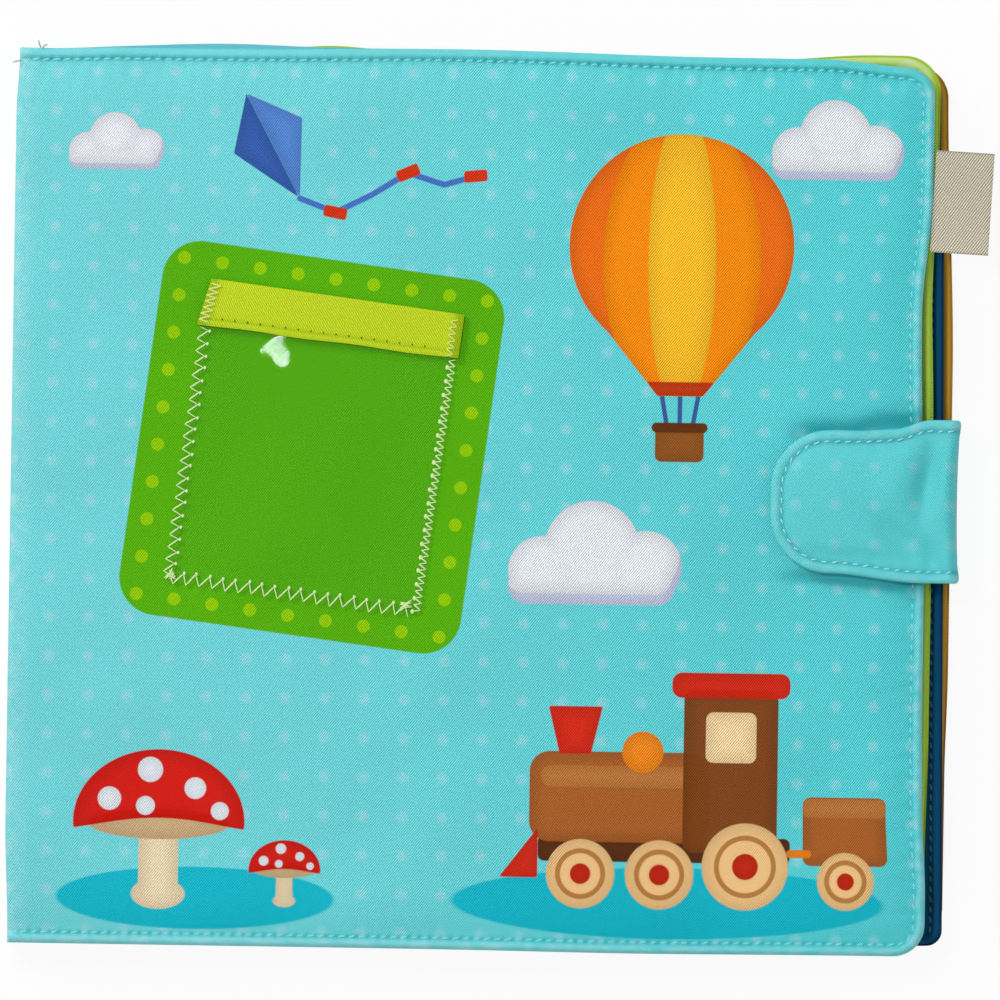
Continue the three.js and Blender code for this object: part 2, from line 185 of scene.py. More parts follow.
def fold(piece, below, above, start, end):
    """Bakes a piece's transform into its mesh; the two places where it meets the bodies are given as (x, z).
    """
    start, end = ((x * MM, 0, z * MM) for x, z in (start, end))
    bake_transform(piece)
    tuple(start)
    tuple(end)


def grid_faces(rows, columns, first=0, closed=False):
    """Quads of a grid whose points run along its columns. Closed joins the last column to the first."""
    faces = []
    for r in range(rows - 1):
        for c in range(columns if closed else columns - 1):
            a, b = first + r * columns + c, first + r * columns + (c + 1) % columns
            faces.append((a, b, b + columns, a + columns))
    return faces


def grid_rim(rows, columns, first_column=0):
    """Points round a grid's outline, clockwise."""
    start, last = first_column, columns - 1
    bottom = list(range(start, columns))
    right = [r * columns + last for r in range(1, rows)]
    top = [(rows - 1) * columns + c for c in range(last - 1, start - 1, -1)]
    left = [r * columns + start for r in range(rows - 2, 0, -1)]
    return (bottom + right + top + left)[::-1]


def ring_faces(rings, sides, first=0):
    """Faces of a tube through several rings, with both ends closed."""
    last = first + (rings - 1) * sides
    ends = [tuple(range(first, first + sides))[::-1], tuple(range(last, last + sides))]
    return grid_faces(rings, sides, first, closed=True) + ends


def slab(top, bottom):
    """A thin closed form between two grids of points."""
    rows, columns = top.shape[:2]
    count = rows * columns
    upper = grid_faces(rows, columns)
    rim = grid_rim(rows, columns)
    sides = [(a, b, b + count, a + count) for a, b in zip(rim, rim[1:] + rim[:1])]
    faces = upper + [tuple(i + count for i in face[::-1]) for face in upper] + sides
    return np.concatenate([top.reshape(-1, 3), bottom.reshape(-1, 3)]), faces


def join(parts):
    """Several (points, faces) as one."""
    points, faces, first = [], [], 0
    for part_points, part_faces in parts:
        points.append(part_points)
        faces += [tuple(i + first for i in face) for face in part_faces]
        first += len(part_points)
    return np.concatenate(points), faces


def ladder(length, step, fine_start=True):
    """Places from 0 to length, about a step apart and closer near the ends that are sewn."""
    fine = np.array([0, 0.07, 0.2, 0.4, 0.65, 0.95, 1.3, 1.65, 2.0, 2.25, 2.5, 2.75, 3.05, 3.45])
    start = fine if fine_start else np.array([0.0])
    end = length - fine[::-1]
    count = int(round((end[0] - start[-1]) / step))
    return np.concatenate([start, np.linspace(start[-1], end[0], count + 1)[1:-1], end])


def threads(centres, radius):
    """Strands of thread, all with the same number of points, as points and faces."""
    centres = np.asarray(centres, float)
    count, steps = centres.shape[:2]
    sides = 6
    tangent = np.gradient(centres, axis=1)
    tangent /= np.linalg.norm(tangent, axis=2, keepdims=True)
    across = np.cross(tangent, [0.0, 0.0, 1.0])
    across /= np.maximum(np.linalg.norm(across, axis=2, keepdims=True), 1e-6)
    over = np.cross(across, tangent)
    thick = radius * np.sqrt(1 - 0.75 * np.linspace(-1, 1, steps) ** 4)
    angle = 2 * math.pi * np.arange(sides)[None, None, :, None] / sides
    ring = across[:, :, None] * np.cos(angle) + over[:, :, None] * np.sin(angle)
    points = centres[:, :, None] + ring * thick[None, :, None, None]
    faces = []
    for n in range(count):
        faces += ring_faces(steps, sides, n * steps * sides)
    return points.reshape(-1, 3), faces


def beads(places, radius, height, level):
    """Small flat rounds where a needle has gone through."""
    sides = 8
    angle = 2 * math.pi * np.arange(sides) / sides
    across, along = np.cos(angle) * radius, np.sin(angle) * 1.3 * radius
    rings = [np.stack([across * share, along * share, np.full(sides, level + rise * height)], -1)
             for share, rise in ((1.0, -0.6), (0.85, 0.55), (0.5, 0.9))]
    faces = ring_faces(len(rings), sides)
    return join([(np.concatenate(rings) + [x, y, 0], faces) for x, y in places])


def arches(starts, ends, level, height, steps=6):
    """Strands that rise a little over a surface between their ends."""
    share = np.linspace(0, 1, steps)[None, :, None]
    flat = starts[:, None] + (ends - starts)[:, None] * share
    z = level + np.reshape(height, (-1, 1, 1)) * np.sin(math.pi * share) - 0.08
    return np.concatenate([flat, np.broadcast_to(z, flat.shape[:2] + (1,))], axis=2)


# Materials

class Nodes:
    """Short calls for building the nodes of a material or of the world."""

    def __init__(self, owner):
        owner.use_nodes = True
        self.owner, self.tree = owner, owner.node_tree
        self.shader = self.tree.nodes.get("Principled BSDF")

    def feed(self, socket, value):
        if isinstance(value, bpy.types.NodeSocket):
            self.tree.links.new(value, socket)
        else:
            socket.default_value = value

    def fill(self, node, sockets, values):
        for socket, value in zip(sockets, values):
            self.feed(node.inputs[socket], value)
        return node

    def add(self, kind, *values, **settings):
        """A new node with these settings, and with the values fed to its first sockets."""
        node = self.tree.nodes.new(kind)
        for key, value in settings.items():
            setattr(node, key, value)
        return self.fill(node, range(len(values)), values)

    def math(self, operation, *values, clamp=False):
        return self.add("ShaderNodeMath", *values, operation=operation, use_clamp=clamp).outputs[0]

    def vector(self, operation, *values):
        output = "Value" if operation in ("DOT_PRODUCT", "LENGTH") else "Vector"
        return self.add("ShaderNodeVectorMath", *values, operation=operation).outputs[output]

    def span(self, value, low, high, to_low=0.0, to_high=1.0, kind="LINEAR"):
        return self.add("ShaderNodeMapRange", value, low, high, to_low, to_high, clamp=True,
                        interpolation_type=kind).outputs[0]

    def attribute(self, name, output="Vector"):
        return self.add("ShaderNodeAttribute", attribute_name=name).outputs[output]

    def place(self):
        """The place on the object, in millimetres."""
        return self.vector("MULTIPLY", self.add("ShaderNodeTexCoord").outputs["Object"], (1 / MM,) * 3)

    def noise(self, where, scale, detail=2.0):
        node = self.add("ShaderNodeTexNoise")
        return self.fill(node, ("Vector", "Scale", "Detail"), (where, scale, detail)).outputs["Fac"]

    def mix(self, factor, a, b, blend="MIX"):
        node = self.add("ShaderNodeMix", data_type="RGBA", blend_type=blend)
        return self.fill(node, (0, 6, 7), (factor, a, b)).outputs[2]

    def bump(self, height, depth):
        node = self.fill(self.add("ShaderNodeBump"), ("Distance", "Height"), (depth * MM, height))
        self.feed(self.shader.inputs["Normal"], node.outputs[0])

    def set(self, **values):
        """Sets the main shader's sockets."""
        self.fill(self.shader, [key.replace("_", " ") for key in values], values.values())
        return self.owner

    def show(self, factor, first, second):
        """Shows two shaders mixed."""
        mixed = self.add("ShaderNodeMixShader", factor, first.outputs[0], second.outputs[0])
        self.feed(self.tree.get_output_node("ALL").inputs["Surface"], mixed.outputs[0])
        return self.owner


def material_nodes(name):
    return Nodes(bpy.data.materials.new(name))


def twill(nodes, place, pitch, lean):
    """A twill, from -0.5 in a furrow to 0.5 on a rib. Lean is the ribs' angle in degrees."""
    c, s = math.cos(math.radians(lean)), math.sin(math.radians(lean))
    across = nodes.vector("DOT_PRODUCT", place, (-s, c, 0))
    along = nodes.vector("DOT_PRODUCT", place, (c, s, 0))
    drift = nodes.math("MULTIPLY_ADD", nodes.noise(place, 0.35), 0.5 * pitch, across)
    phase = nodes.math("MULTIPLY", drift, 2 * math.pi / pitch)
    yarn_phase = nodes.math("MULTIPLY_ADD", along, 2 * math.pi / (1.9 * pitch), phase)
    rib = nodes.span(nodes.math("SINE", phase), -0.75, 0.75, -0.5, 0.5)
    woven = nodes.math("MULTIPLY_ADD", nodes.math("SINE", yarn_phase), 0.16, rib)
    return nodes.math("MULTIPLY", woven, nodes.span(nodes.noise(place, 0.6), 0.3, 0.7, 0.5, 1.1))


def cloth_material(name, code, dots=None, inks=(), pitch=0.43, lean=52, contrast=(0.9, 0.9), shine=0.3,
                   rough=0.5, shaded_edge_rise=None, dot_strength=0.36):
    """Twill in one colour, with printed dots and inks, painted shade in its seams and painted highlights on
    its rims and ends.

    Contrast is that of the weave, near the spine and near the fore-edge.
    """
    nodes = material_nodes(name)
    flat = nodes.attribute("flat")
    reach = nodes.vector("DOT_PRODUCT", flat, (1, 0, 0))
    colour = linear(code)
    if dots:
        # Painted sheen: a little white mixed in, most near the spine, where the light shines on the cloth
        pale = nodes.span(reach, *PAINTED_SHEEN_REACH, PAINTED_SHEEN_SHARE, 0, kind="SMOOTHSTEP")
        colour = nodes.mix(pale, colour, (1, 1, 1, 1))
        cell = nodes.vector("DIVIDE", nodes.vector("SUBTRACT", flat, (*DOT_START, 0)), (*DOT_PITCH, 1))
        near = nodes.vector("FRACTION", nodes.vector("ADD", cell, (0.5, 0.5, 0)))
        off = nodes.vector("MULTIPLY", nodes.vector("SUBTRACT", near, (0.5, 0.5, 0)), (*DOT_PITCH, 0))
        ragged = nodes.math("MULTIPLY_ADD", nodes.noise(flat, 1.6), 0.9, -0.45)
        away = nodes.math("ADD", nodes.vector("LENGTH", off), ragged)
        dot = nodes.span(away, *DOT_EDGE, 0, dot_strength, kind="SMOOTHSTEP")
        colour = nodes.mix(dot, colour, linear(dots))
    for layer, ink, shade in inks:
        edge = nodes.attribute(layer, "Fac")
        inside = nodes.span(edge, INK_EDGE, -INK_EDGE)
        shaded = nodes.mix(nodes.span(edge, -INK_SHADE, 0), linear(ink), [shade * c for c in linear(ink)])
        colour = nodes.mix(inside, colour, shaded)
        shine = nodes.math("MULTIPLY", shine, nodes.span(inside, 0, 1, 1, INK_SHINE))
    # Painted shade: the colour deepens by multiplying with itself where the seam layer says, in grooves,
    # holes, furrows and along edges
    colour = nodes.mix(nodes.attribute("seam", "Fac"), colour, colour, "MULTIPLY")
    # Painted highlight: patchy white where light falls on rims and bare ends
    patches = nodes.span(nodes.noise(flat, 0.35), 0.35, 0.65, 0.04, 0.2)
    painted_highlight = nodes.math("MULTIPLY", nodes.attribute("painted_highlight", "Fac"), patches)
    colour = nodes.mix(painted_highlight, colour, (1, 1, 1, 1))
    woven = twill(nodes, flat, pitch, lean)
    fuzz = nodes.noise(flat, 3.2, 3.0)
    broad = nodes.noise(flat, 0.03, 1.0)
    light = nodes.math("MULTIPLY_ADD", woven, nodes.span(reach, *WEAVE_REACH, *contrast), 1)
    light = nodes.math("MULTIPLY", light, nodes.span(fuzz, 0.3, 0.7, 0.8, 1.2))
    light = nodes.math("MULTIPLY", light, nodes.span(broad, 0.3, 0.7, 0.97, 1.03))
    # Painted shade: darker along the tape's upper and lower edges
    if shaded_edge_rise:
        rise = nodes.math("ABSOLUTE", nodes.vector("DOT_PRODUCT", flat, (0, 1, 0)))
        light = nodes.math("MULTIPLY", light, nodes.span(rise, shaded_edge_rise - 0.5, shaded_edge_rise - 0.2, 1, 0.7))
    nodes.bump(nodes.math("MULTIPLY_ADD", fuzz, 0.4, woven), 0.035)
    grey = nodes.add("ShaderNodeCombineColor", light, light, light).outputs[0]
    return nodes.set(Base_Color=nodes.mix(1.0, colour, grey, "MULTIPLY"), Roughness=rough,
                     Specular_IOR_Level=shine)


def thread_material(name, code, shadow=0.6, rough=0.5):
    """Sewing thread of twisted yarns, with a soft shine."""
    nodes = material_nodes(name)
    grain = nodes.noise(nodes.place(), 5.5)
    dark = [c * shadow for c in linear(code)]
    nodes.bump(grain, 0.06)
    return nodes.set(Base_Color=nodes.mix(nodes.span(grain, 0.3, 0.7), linear(code), dark),
                     Roughness=nodes.span(grain, 0.2, 0.8, rough, rough + 0.2), Specular_IOR_Level=0.4)


def vinyl_material(name):
    """Clear soft vinyl with faint scuffs. Light falls through, and a small share of it shines."""
    tint, clear_share = (0.96, 0.98, 0.96, 1), 0.944
    nodes = material_nodes(name)
    scuff = nodes.noise(nodes.vector("MULTIPLY", nodes.place(), (0.9, 0.2, 1.0)), 0.7, 4.0)
    nodes.set(Base_Color=tint, Transmission_Weight=1.0, IOR=1.5,
              Roughness=nodes.span(scuff, 0.5, 0.8, 0.012, 0.03))
    path = nodes.add("ShaderNodeLightPath").outputs
    lit = nodes.math("MAXIMUM", path["Is Shadow Ray"], path["Is Diffuse Ray"])
    return nodes.show(nodes.math("MAXIMUM", lit, clear_share), nodes.shader,
                      nodes.add("ShaderNodeBsdfTransparent", tint))


def tape_material(name, code, pile):
    """Hook tape or loop tape: a bristly or fuzzy pile on a woven back."""
    nodes = material_nodes(name)
    place = nodes.place()
    tufts = nodes.fill(nodes.add("ShaderNodeTexVoronoi", feature="F1"), ("Vector", "Scale"), (place, pile))
    fuzz = nodes.noise(place, 4.0, 4.0)
    height = nodes.math("MULTIPLY_ADD", fuzz, 0.6, nodes.span(tufts.outputs["Distance"], 0, 0.7, 1, 0))
    # Darker where the pile is low: painted shade between the tufts, with random tone from the fuzz
    dark = [c * 0.6 for c in linear(code)]
    nodes.bump(height, 0.35)
    return nodes.set(Base_Color=nodes.mix(nodes.span(height, 0.2, 1.2), dark, linear(code)),
                     Roughness=nodes.span(fuzz, 0.2, 0.8, 0.7, 0.95))


# Shapes of the print, as distances that are negative inside the shape

def circle(x, y, cx, cy, radius):
    return np.hypot(x - cx, y - cy) - radius


def ellipse(x, y, cx, cy, rx, ry):
    return (np.hypot((x - cx) / rx, (y - cy) / ry) - 1) * min(rx, ry)


def block(x, y, cx, cy, half_x, half_y, radius=0.0, turn=0.0):
    c, s = math.cos(turn), math.sin(turn)
    u, v = (x - cx) * c + (y - cy) * s, (y - cy) * c - (x - cx) * s
    qx, qy = np.abs(u) - half_x + radius, np.abs(v) - half_y + radius
    return np.hypot(np.maximum(qx, 0), np.maximum(qy, 0)) + np.minimum(np.maximum(qx, qy), 0) - radius


def line(x, y, start, end, width):
    (ax, ay), (bx, by) = start, end
    dx, dy = bx - ax, by - ay
    t = np.clip(((x - ax) * dx + (y - ay) * dy) / (dx * dx + dy * dy), 0, 1)
    return np.hypot(x - ax - t * dx, y - ay - t * dy) - width / 2


def polygon(x, y, corners):
    """A convex polygon, with its corners counterclockwise."""
    result = np.full(np.shape(x), -1e9)
    for (ax, ay), (bx, by) in zip(corners, corners[1:] + corners[:1]):
        side = ((x - ax) * (by - ay) - (y - ay) * (bx - ax)) / math.hypot(bx - ax, by - ay)
        result = np.maximum(result, side)
    return result


def either(*shapes):
    return np.minimum.reduce(shapes)


def both(*shapes):
    return np.maximum.reduce(shapes)


def turned(points, middle, turn):
    c, s = math.cos(turn), math.sin(turn)
    return [(middle[0] + px * c - py * s, middle[1] + px * s + py * c) for px, py in points]


def cloud(x, y, cx, cy, size):
    puffs = [(-11, -1, 7.5), (0, 4, 10.5), (12, 0, 8.0)]
    circles = [circle(x, y, cx + size * px, cy + size * py, size * r) for px, py, r in puffs]
    return either(*circles, block(x, y, cx, cy - 4.5 * size, 18.5 * size, 4 * size, 4 * size))


def print_ground(x, y):
    """Pools of darker ground that the toadstools and the train stand on."""
    return [("14B6C9", either(ellipse(x, y, 42, -88.8, 31, 6.9), ellipse(x, y, 147, -88.3, 48, 7.8)))]


def print_clouds(x, y):
    """Clouds with a pale lilac underside."""
    clouds = [(182, 79, 0.78), (129, -14, 1.0), (22, 77, 0.55)]
    whole = either(*[cloud(x, y, *spot) for spot in clouds])
    tops = either(*[cloud(x, y, cx - 0.6, cy + 2.4 * size, size) for cx, cy, size in clouds])
    return [("C3CAE2", whole), ("E6E9EF", both(whole, tops))]


def print_balloon(x, y):
    envelope = either(circle(x, y, 148, 57, 25),
                      polygon(x, y, [(127.5, 43.3), (143, 24), (153, 24), (168.5, 43.3)]))
    ropes = [line(x, y, (top, 25), (foot, 17), 1.0)
             for top, foot in ((143.8, 145.2), (148, 148), (152.2, 150.8))]
    return [("3E63A8", either(*ropes)),
            ("EA6C14", envelope),
            ("F88C14", both(envelope, ellipse(x, y, 148, 54, 17.5, 33))),
            ("FBBE30", both(envelope, ellipse(x, y, 148, 54, 7.5, 33))),
            ("C9401A", both(envelope, block(x, y, 148, 25.4, 9, 1.7))),
            ("93561F", block(x, y, 148, 13.6, 5.4, 4.2, 1.4)),
            ("6B3A1C", block(x, y, 148, 17.0, 6.2, 1.1, 1.0))]


def print_kite(x, y):
    middle, lean = (57, 78), math.radians(28)
    left_half = turned([(0, 13), (-8.5, 2.5), (0, -13)], middle, lean)
    right_half = turned([(0, 13), (0, -13), (8.5, 2.5)], middle, lean)
    tail = [(63.1, 66.5), (71, 63.5), (79, 67.5), (87, 72.5), (95, 70.0), (102, 72.0)]
    string = either(*[line(x, y, a, b, 1.3) for a, b in zip(tail, tail[1:])])
    bows = [(71, 63.5, -0.2), (87, 72.5, 0.4), (102, 72.0, 0.1)]
    return [("4570BE", string), ("5586D2", polygon(x, y, right_half)), ("355EAC", polygon(x, y, left_half)),
            ("E03A1A", either(*[block(x, y, bx, by, 2.6, 1.3, 0.5, turn) for bx, by, turn in bows]))]


def print_frame(x, y):
    """Plain frame round the pocket, with a row of dots on its band."""
    middle, band_x, band_y, across, up = (66.6, 11.4), 33.9, 37.6, 8, 9
    spots = [(band_x * (2 * k / across - 1), side * band_y) for side in (-1, 1) for k in range(across + 1)]
    spots += [(side * band_x, band_y * (2 * k / up - 1)) for side in (-1, 1) for k in range(1, up)]
    dots = [circle(x, y, cx, cy, 1.45) for cx, cy in turned(spots, middle, POCKET_LEAN)]
    return [("56AE06", block(x, y, *middle, 38.2, 41.8, 8.5, POCKET_LEAN)), ("90C80E", either(*dots))]


def print_toadstools(x, y):
    def parts(cx, cy, size):
        stalk = either(block(x, y, cx, cy + 9 * size, 4.4 * size, 10 * size, 3 * size),
                       ellipse(x, y, cx, cy + 2 * size, 6 * size, 3.4 * size))
        gills = ellipse(x, y, cx, cy + 17.5 * size, 15.5 * size, 3.4 * size)
        lip = cy + 17.2 * size + 1.6 * size * np.cos((x - cx) / (9 * size))
        cap = both(ellipse(x, y, cx, cy + 18 * size, 19 * size, 16 * size), lip - y)
        places = [(-11, 23, 2.6), (-2, 29.5, 2.8), (8, 25.5, 2.4), (-3, 21.5, 2.1), (13.5, 20.5, 2.0)]
        spots = [circle(x, y, cx + a * size, cy + b * size, r * size) for a, b, r in places]
        return stalk, gills, cap, both(either(*spots), cap)
    large, small = parts(34, -90, 1.0), parts(62, -90, 0.42)
    codes = ("EAD6B2", "CFAE82", "D41E14", "E9EEF4")
    return [(code, either(a, b)) for code, a, b in zip(codes, large, small)]


def print_train(x, y):
    wheels = [(127.5, -82, 7.6), (145, -82, 7.6), (164, -80, 9.6), (186.5, -83, 6.4)]
    chimney = polygon(x, y, [(122.5, -55.5), (129.5, -55.5), (132, -45), (120, -45)])
    plough = polygon(x, y, [(109.5, -83), (118, -83), (118, -72)])
    return [("5A2E14", block(x, y, 146, -76.5, 28, 2.8, 1.4)),
            ("A9602A", either(block(x, y, 136, -65, 20, 10, 4.5), block(x, y, 186.5, -72, 9.6, 7.6, 1.8))),
            ("C17C40", either(block(x, y, 136, -60.5, 17.5, 2.4, 2.2),
                              block(x, y, 186.5, -66.8, 9.6, 2.1, 1.2))),
            ("80461D", block(x, y, 160.5, -59, 10.5, 18, 2.4)),
            ("F4D6A2", block(x, y, 160.5, -51.5, 5.6, 5.6, 1.6)),
            ("D62C18", either(block(x, y, 160.5, -40, 13.2, 2.8, 2.2), chimney, plough)),
            ("F28A20", either(circle(x, y, 141, -55, 4.6), line(x, y, (174, -77), (178, -77), 1.8))),
            ("F0C488", either(*[circle(x, y, *wheel) for wheel in wheels])),
            ("C98A4A", either(*[np.abs(circle(x, y, cx, cy, 0.66 * r)) - 0.55 for cx, cy, r in wheels])),
            ("C92E1A", either(*[circle(x, y, cx, cy, 0.3 * r) for cx, cy, r in wheels]))]


def print_inks(x, y):
    """The cover's print as (colour, distance) in the order of printing. X is reach and y is rise."""
    motifs = (print_ground, print_clouds, print_balloon, print_kite, print_frame, print_toadstools,
              print_train)
    return [ink for motif in motifs for ink in motif(x, y)]


FLAT_MOTIFS = ("14B6C9", "56AE06", "90C80E", "4570BE")
INKS = [(f"ink_{n:02d}", code, 1.0 if code in FLAT_MOTIFS else 0.8)
        for n, (code, _) in enumerate(print_inks(np.zeros(1), np.zeros(1)))]

printed_cloth = cloth_material("printed_cloth", "4ACBD1", dots="A8D6E0", inks=INKS, contrast=(0.6, 0.95))
dotted_cloth = cloth_material("dotted_cloth", "4ACBD1", dots="A8D6E0", contrast=(0.7, 0.95))
tab_cloth = cloth_material("tab_cloth", "54CBD0", dots="A8D6E0", lean=-50, contrast=(0.5, 0.5),
                           dot_strength=0.24)
lining_cloth = cloth_material("lining_cloth", "5AB6C2")
LEAF_CLOTHS = {
    1: cloth_material("lime_cloth", "BCDA56", shine=0.05),
    2: cloth_material("blue_cloth", "085078", shine=0.05),
    3: cloth_material("ochre_cloth", "D0A23E", shine=0.05),
}
ribbon_cloth = cloth_material("ribbon_twill", "BCD220", lean=-52, pitch=0.46, contrast=(0.5, 0.5),
                              shine=0.1, rough=0.6)
label_cloth = cloth_material("label_twill", "C0B8A3", lean=57, pitch=0.5, contrast=(1.1, 1.1), rough=0.8,
                             shaded_edge_rise=11.3)
turquoise_thread = thread_material("turquoise_thread", "86EAEE", shadow=0.8)
tab_thread = thread_material("tab_thread", "A8F0F2", shadow=0.8)
LEAF_THREADS = {1: thread_material("lime_thread", "B9D86A"), 2: thread_material("blue_thread", "3F779C"),
                3: thread_material("ochre_thread", "C79C46")}
pocket_thread = thread_material("pocket_thread", "DDF7B0", shadow=0.8)
tack_thread = thread_material("tack_thread", "E2F07C", shadow=0.8)
loose_thread = thread_material("loose_thread", "A6B4A0")
hole_shade = thread_material("hole_shade", "6A7810", rough=0.75)
clear_vinyl = vinyl_material("clear_vinyl")
hook_tape = tape_material("hook_tape", "6FCDD3", 2.2)
loop_tape = tape_material("loop_tape", "78D2D6", 1.3)


# Outlines of the padded panels: reach of the fore-edge at a rise, rise of the ends at a reach

def front_fore(rise):
    swell = (2.1 * smooth(rise, 43, 70) + 1.35 * smooth(-rise, -42, 20) + 0.3 * smooth(-rise, 45, 65)
             + 1.0 * smooth(-rise, 66, 86))
    return COVER_REACH - 2.95 + swell


def front_top(reach):
    sag = 0.4 * smooth(reach, 24, 8) + 0.2 * smooth(reach, 120, 150) + 1.6 * smooth(reach, 179, 200)
    return COVER_HALF + 0.75 * bump(reach, 98, 34) - sag


def front_bottom(reach):
    return -COVER_HALF - 0.3 * bump(reach, 140, 30)


def tab_hold(rise):
    """How strongly the closed tab draws in what lies inside it, up to 1."""
    return np.clip(1 - ((rise - 1.5) / 17) ** 2, 0, 1)


OUTLINES = {
    "front_cover": (front_fore, front_top, front_bottom),
    "front_lining": (front_fore, lambda reach: front_top(reach) + 1.1 * bump(reach, 46, 20), front_bottom),
    "back_cover": (lambda rise: 204.6 - 0.6 * np.cos(rise / 40),
                   lambda reach: COVER_HALF - 0.7 * smooth(reach, 5, 60),
                   lambda reach: -COVER_HALF + 0.5 * smooth(reach, 5, 60)),
    "leaf_1": (lambda rise: (204.3 - 0.65 * bump(rise, 46, 16) + 0.5 * smooth(rise, 60, 84)
                             - 0.45 * smooth(-rise, 50, 80)),
               lambda reach: 98.9 + 1.6 * bump(reach, 70, 13) + 1.4 * smooth(reach, 165, 190),
               lambda reach: -98.1 + 0.2 * np.sin(reach / 21)),
    "leaf_2": (lambda rise: 206.85 - rise / 80 - 0.8 * smooth(rise, 55, 85),
               lambda reach: 98.8 + 0.2 * np.sin(reach / 15),
               lambda reach: -97.0 + 0.2 * np.sin(reach / 17)),
    "leaf_3": (lambda rise: (208.6 - 1.9 * smooth(rise, 30, 95) - 0.45 * smooth(-rise, 35, 60)
                             - 1.3 * tab_hold(rise)),
               lambda reach: 98.3 + 0.2 * np.sin(reach / 19),
               lambda reach: -96.0 + 0.2 * np.sin(reach / 23)),
}
CORNERS = {"front_cover": (6.5, 7), "front_lining": (6.5, 7), "back_cover": (8, 8), "leaf_1": (8, 8),
           "leaf_2": (7, 3.5), "leaf_3": (7, 7)}


def nip(points):
    """Draws the ends of the spine in a little."""
    reach, rise = points[..., 0] - SPINE, points[..., 1] - MIDDLE
    drawn = 0.8 * smooth(-rise, 72, 98) + 0.6 * smooth(rise, 84, 98)
    points[..., 0] += drawn * smooth(reach, 32, 4)
    return points


def tab_furrow(x, y):
    """Depth of the furrows that the closed tab presses into the cover along its two sides."""
    reach, rise = x - SPINE, y - MIDDLE
    above = 0.6 * bump(rise, 16.5 + 2.2 * smooth(reach, 186, 197), 2.5) * smooth(reach, 170, 180)
    below = 0.45 * bump(rise, -15.6 - 1.3 * smooth(reach, 181, 200), 1.4) * smooth(reach, 168, 176)
    return above + below


def uneven(along, inset, height, first, phase):
    """Puckers of several lengths along a seam."""
    total = 0
    for n, share in enumerate((1.0, 0.75, 0.55)):
        wave = first * PUCKER_RATIO ** n
        drift = 0.35 * np.sin(along / (17 + 6 * n) + phase)
        total = total + share * np.sin(2 * math.pi * (along / wave + drift) + inset / 3 + phase * (n + 1))
    return height * total


def quarter(value):
    """Rises as a quarter circle does, from 0 at 0 to 1 at 1."""
    return np.sqrt(1 - (1 - np.clip(value, 0, 1)) ** 2)


def sewn_form(inset, line, rim, crown, floor, puckers, fade, full):
    """Height of padded cloth at a distance in from its edge, with its stitch line at another.

    The rim stands outside the line and the crown inside it. The puckers start beside the line, reach
    their full height at one distance and fade further in.
    """
    half = line / 2
    rim = rim * np.sqrt(np.clip(1 - ((inset - half) / half) ** 2, 0, 1))
    inner = np.exp(-np.clip(inset - line, 0, None) / fade) * smooth(inset, PUCKER_START, full)
    return (rim ** 6 + crown ** 6 + floor ** 6) ** (1 / 6) + puckers * inner


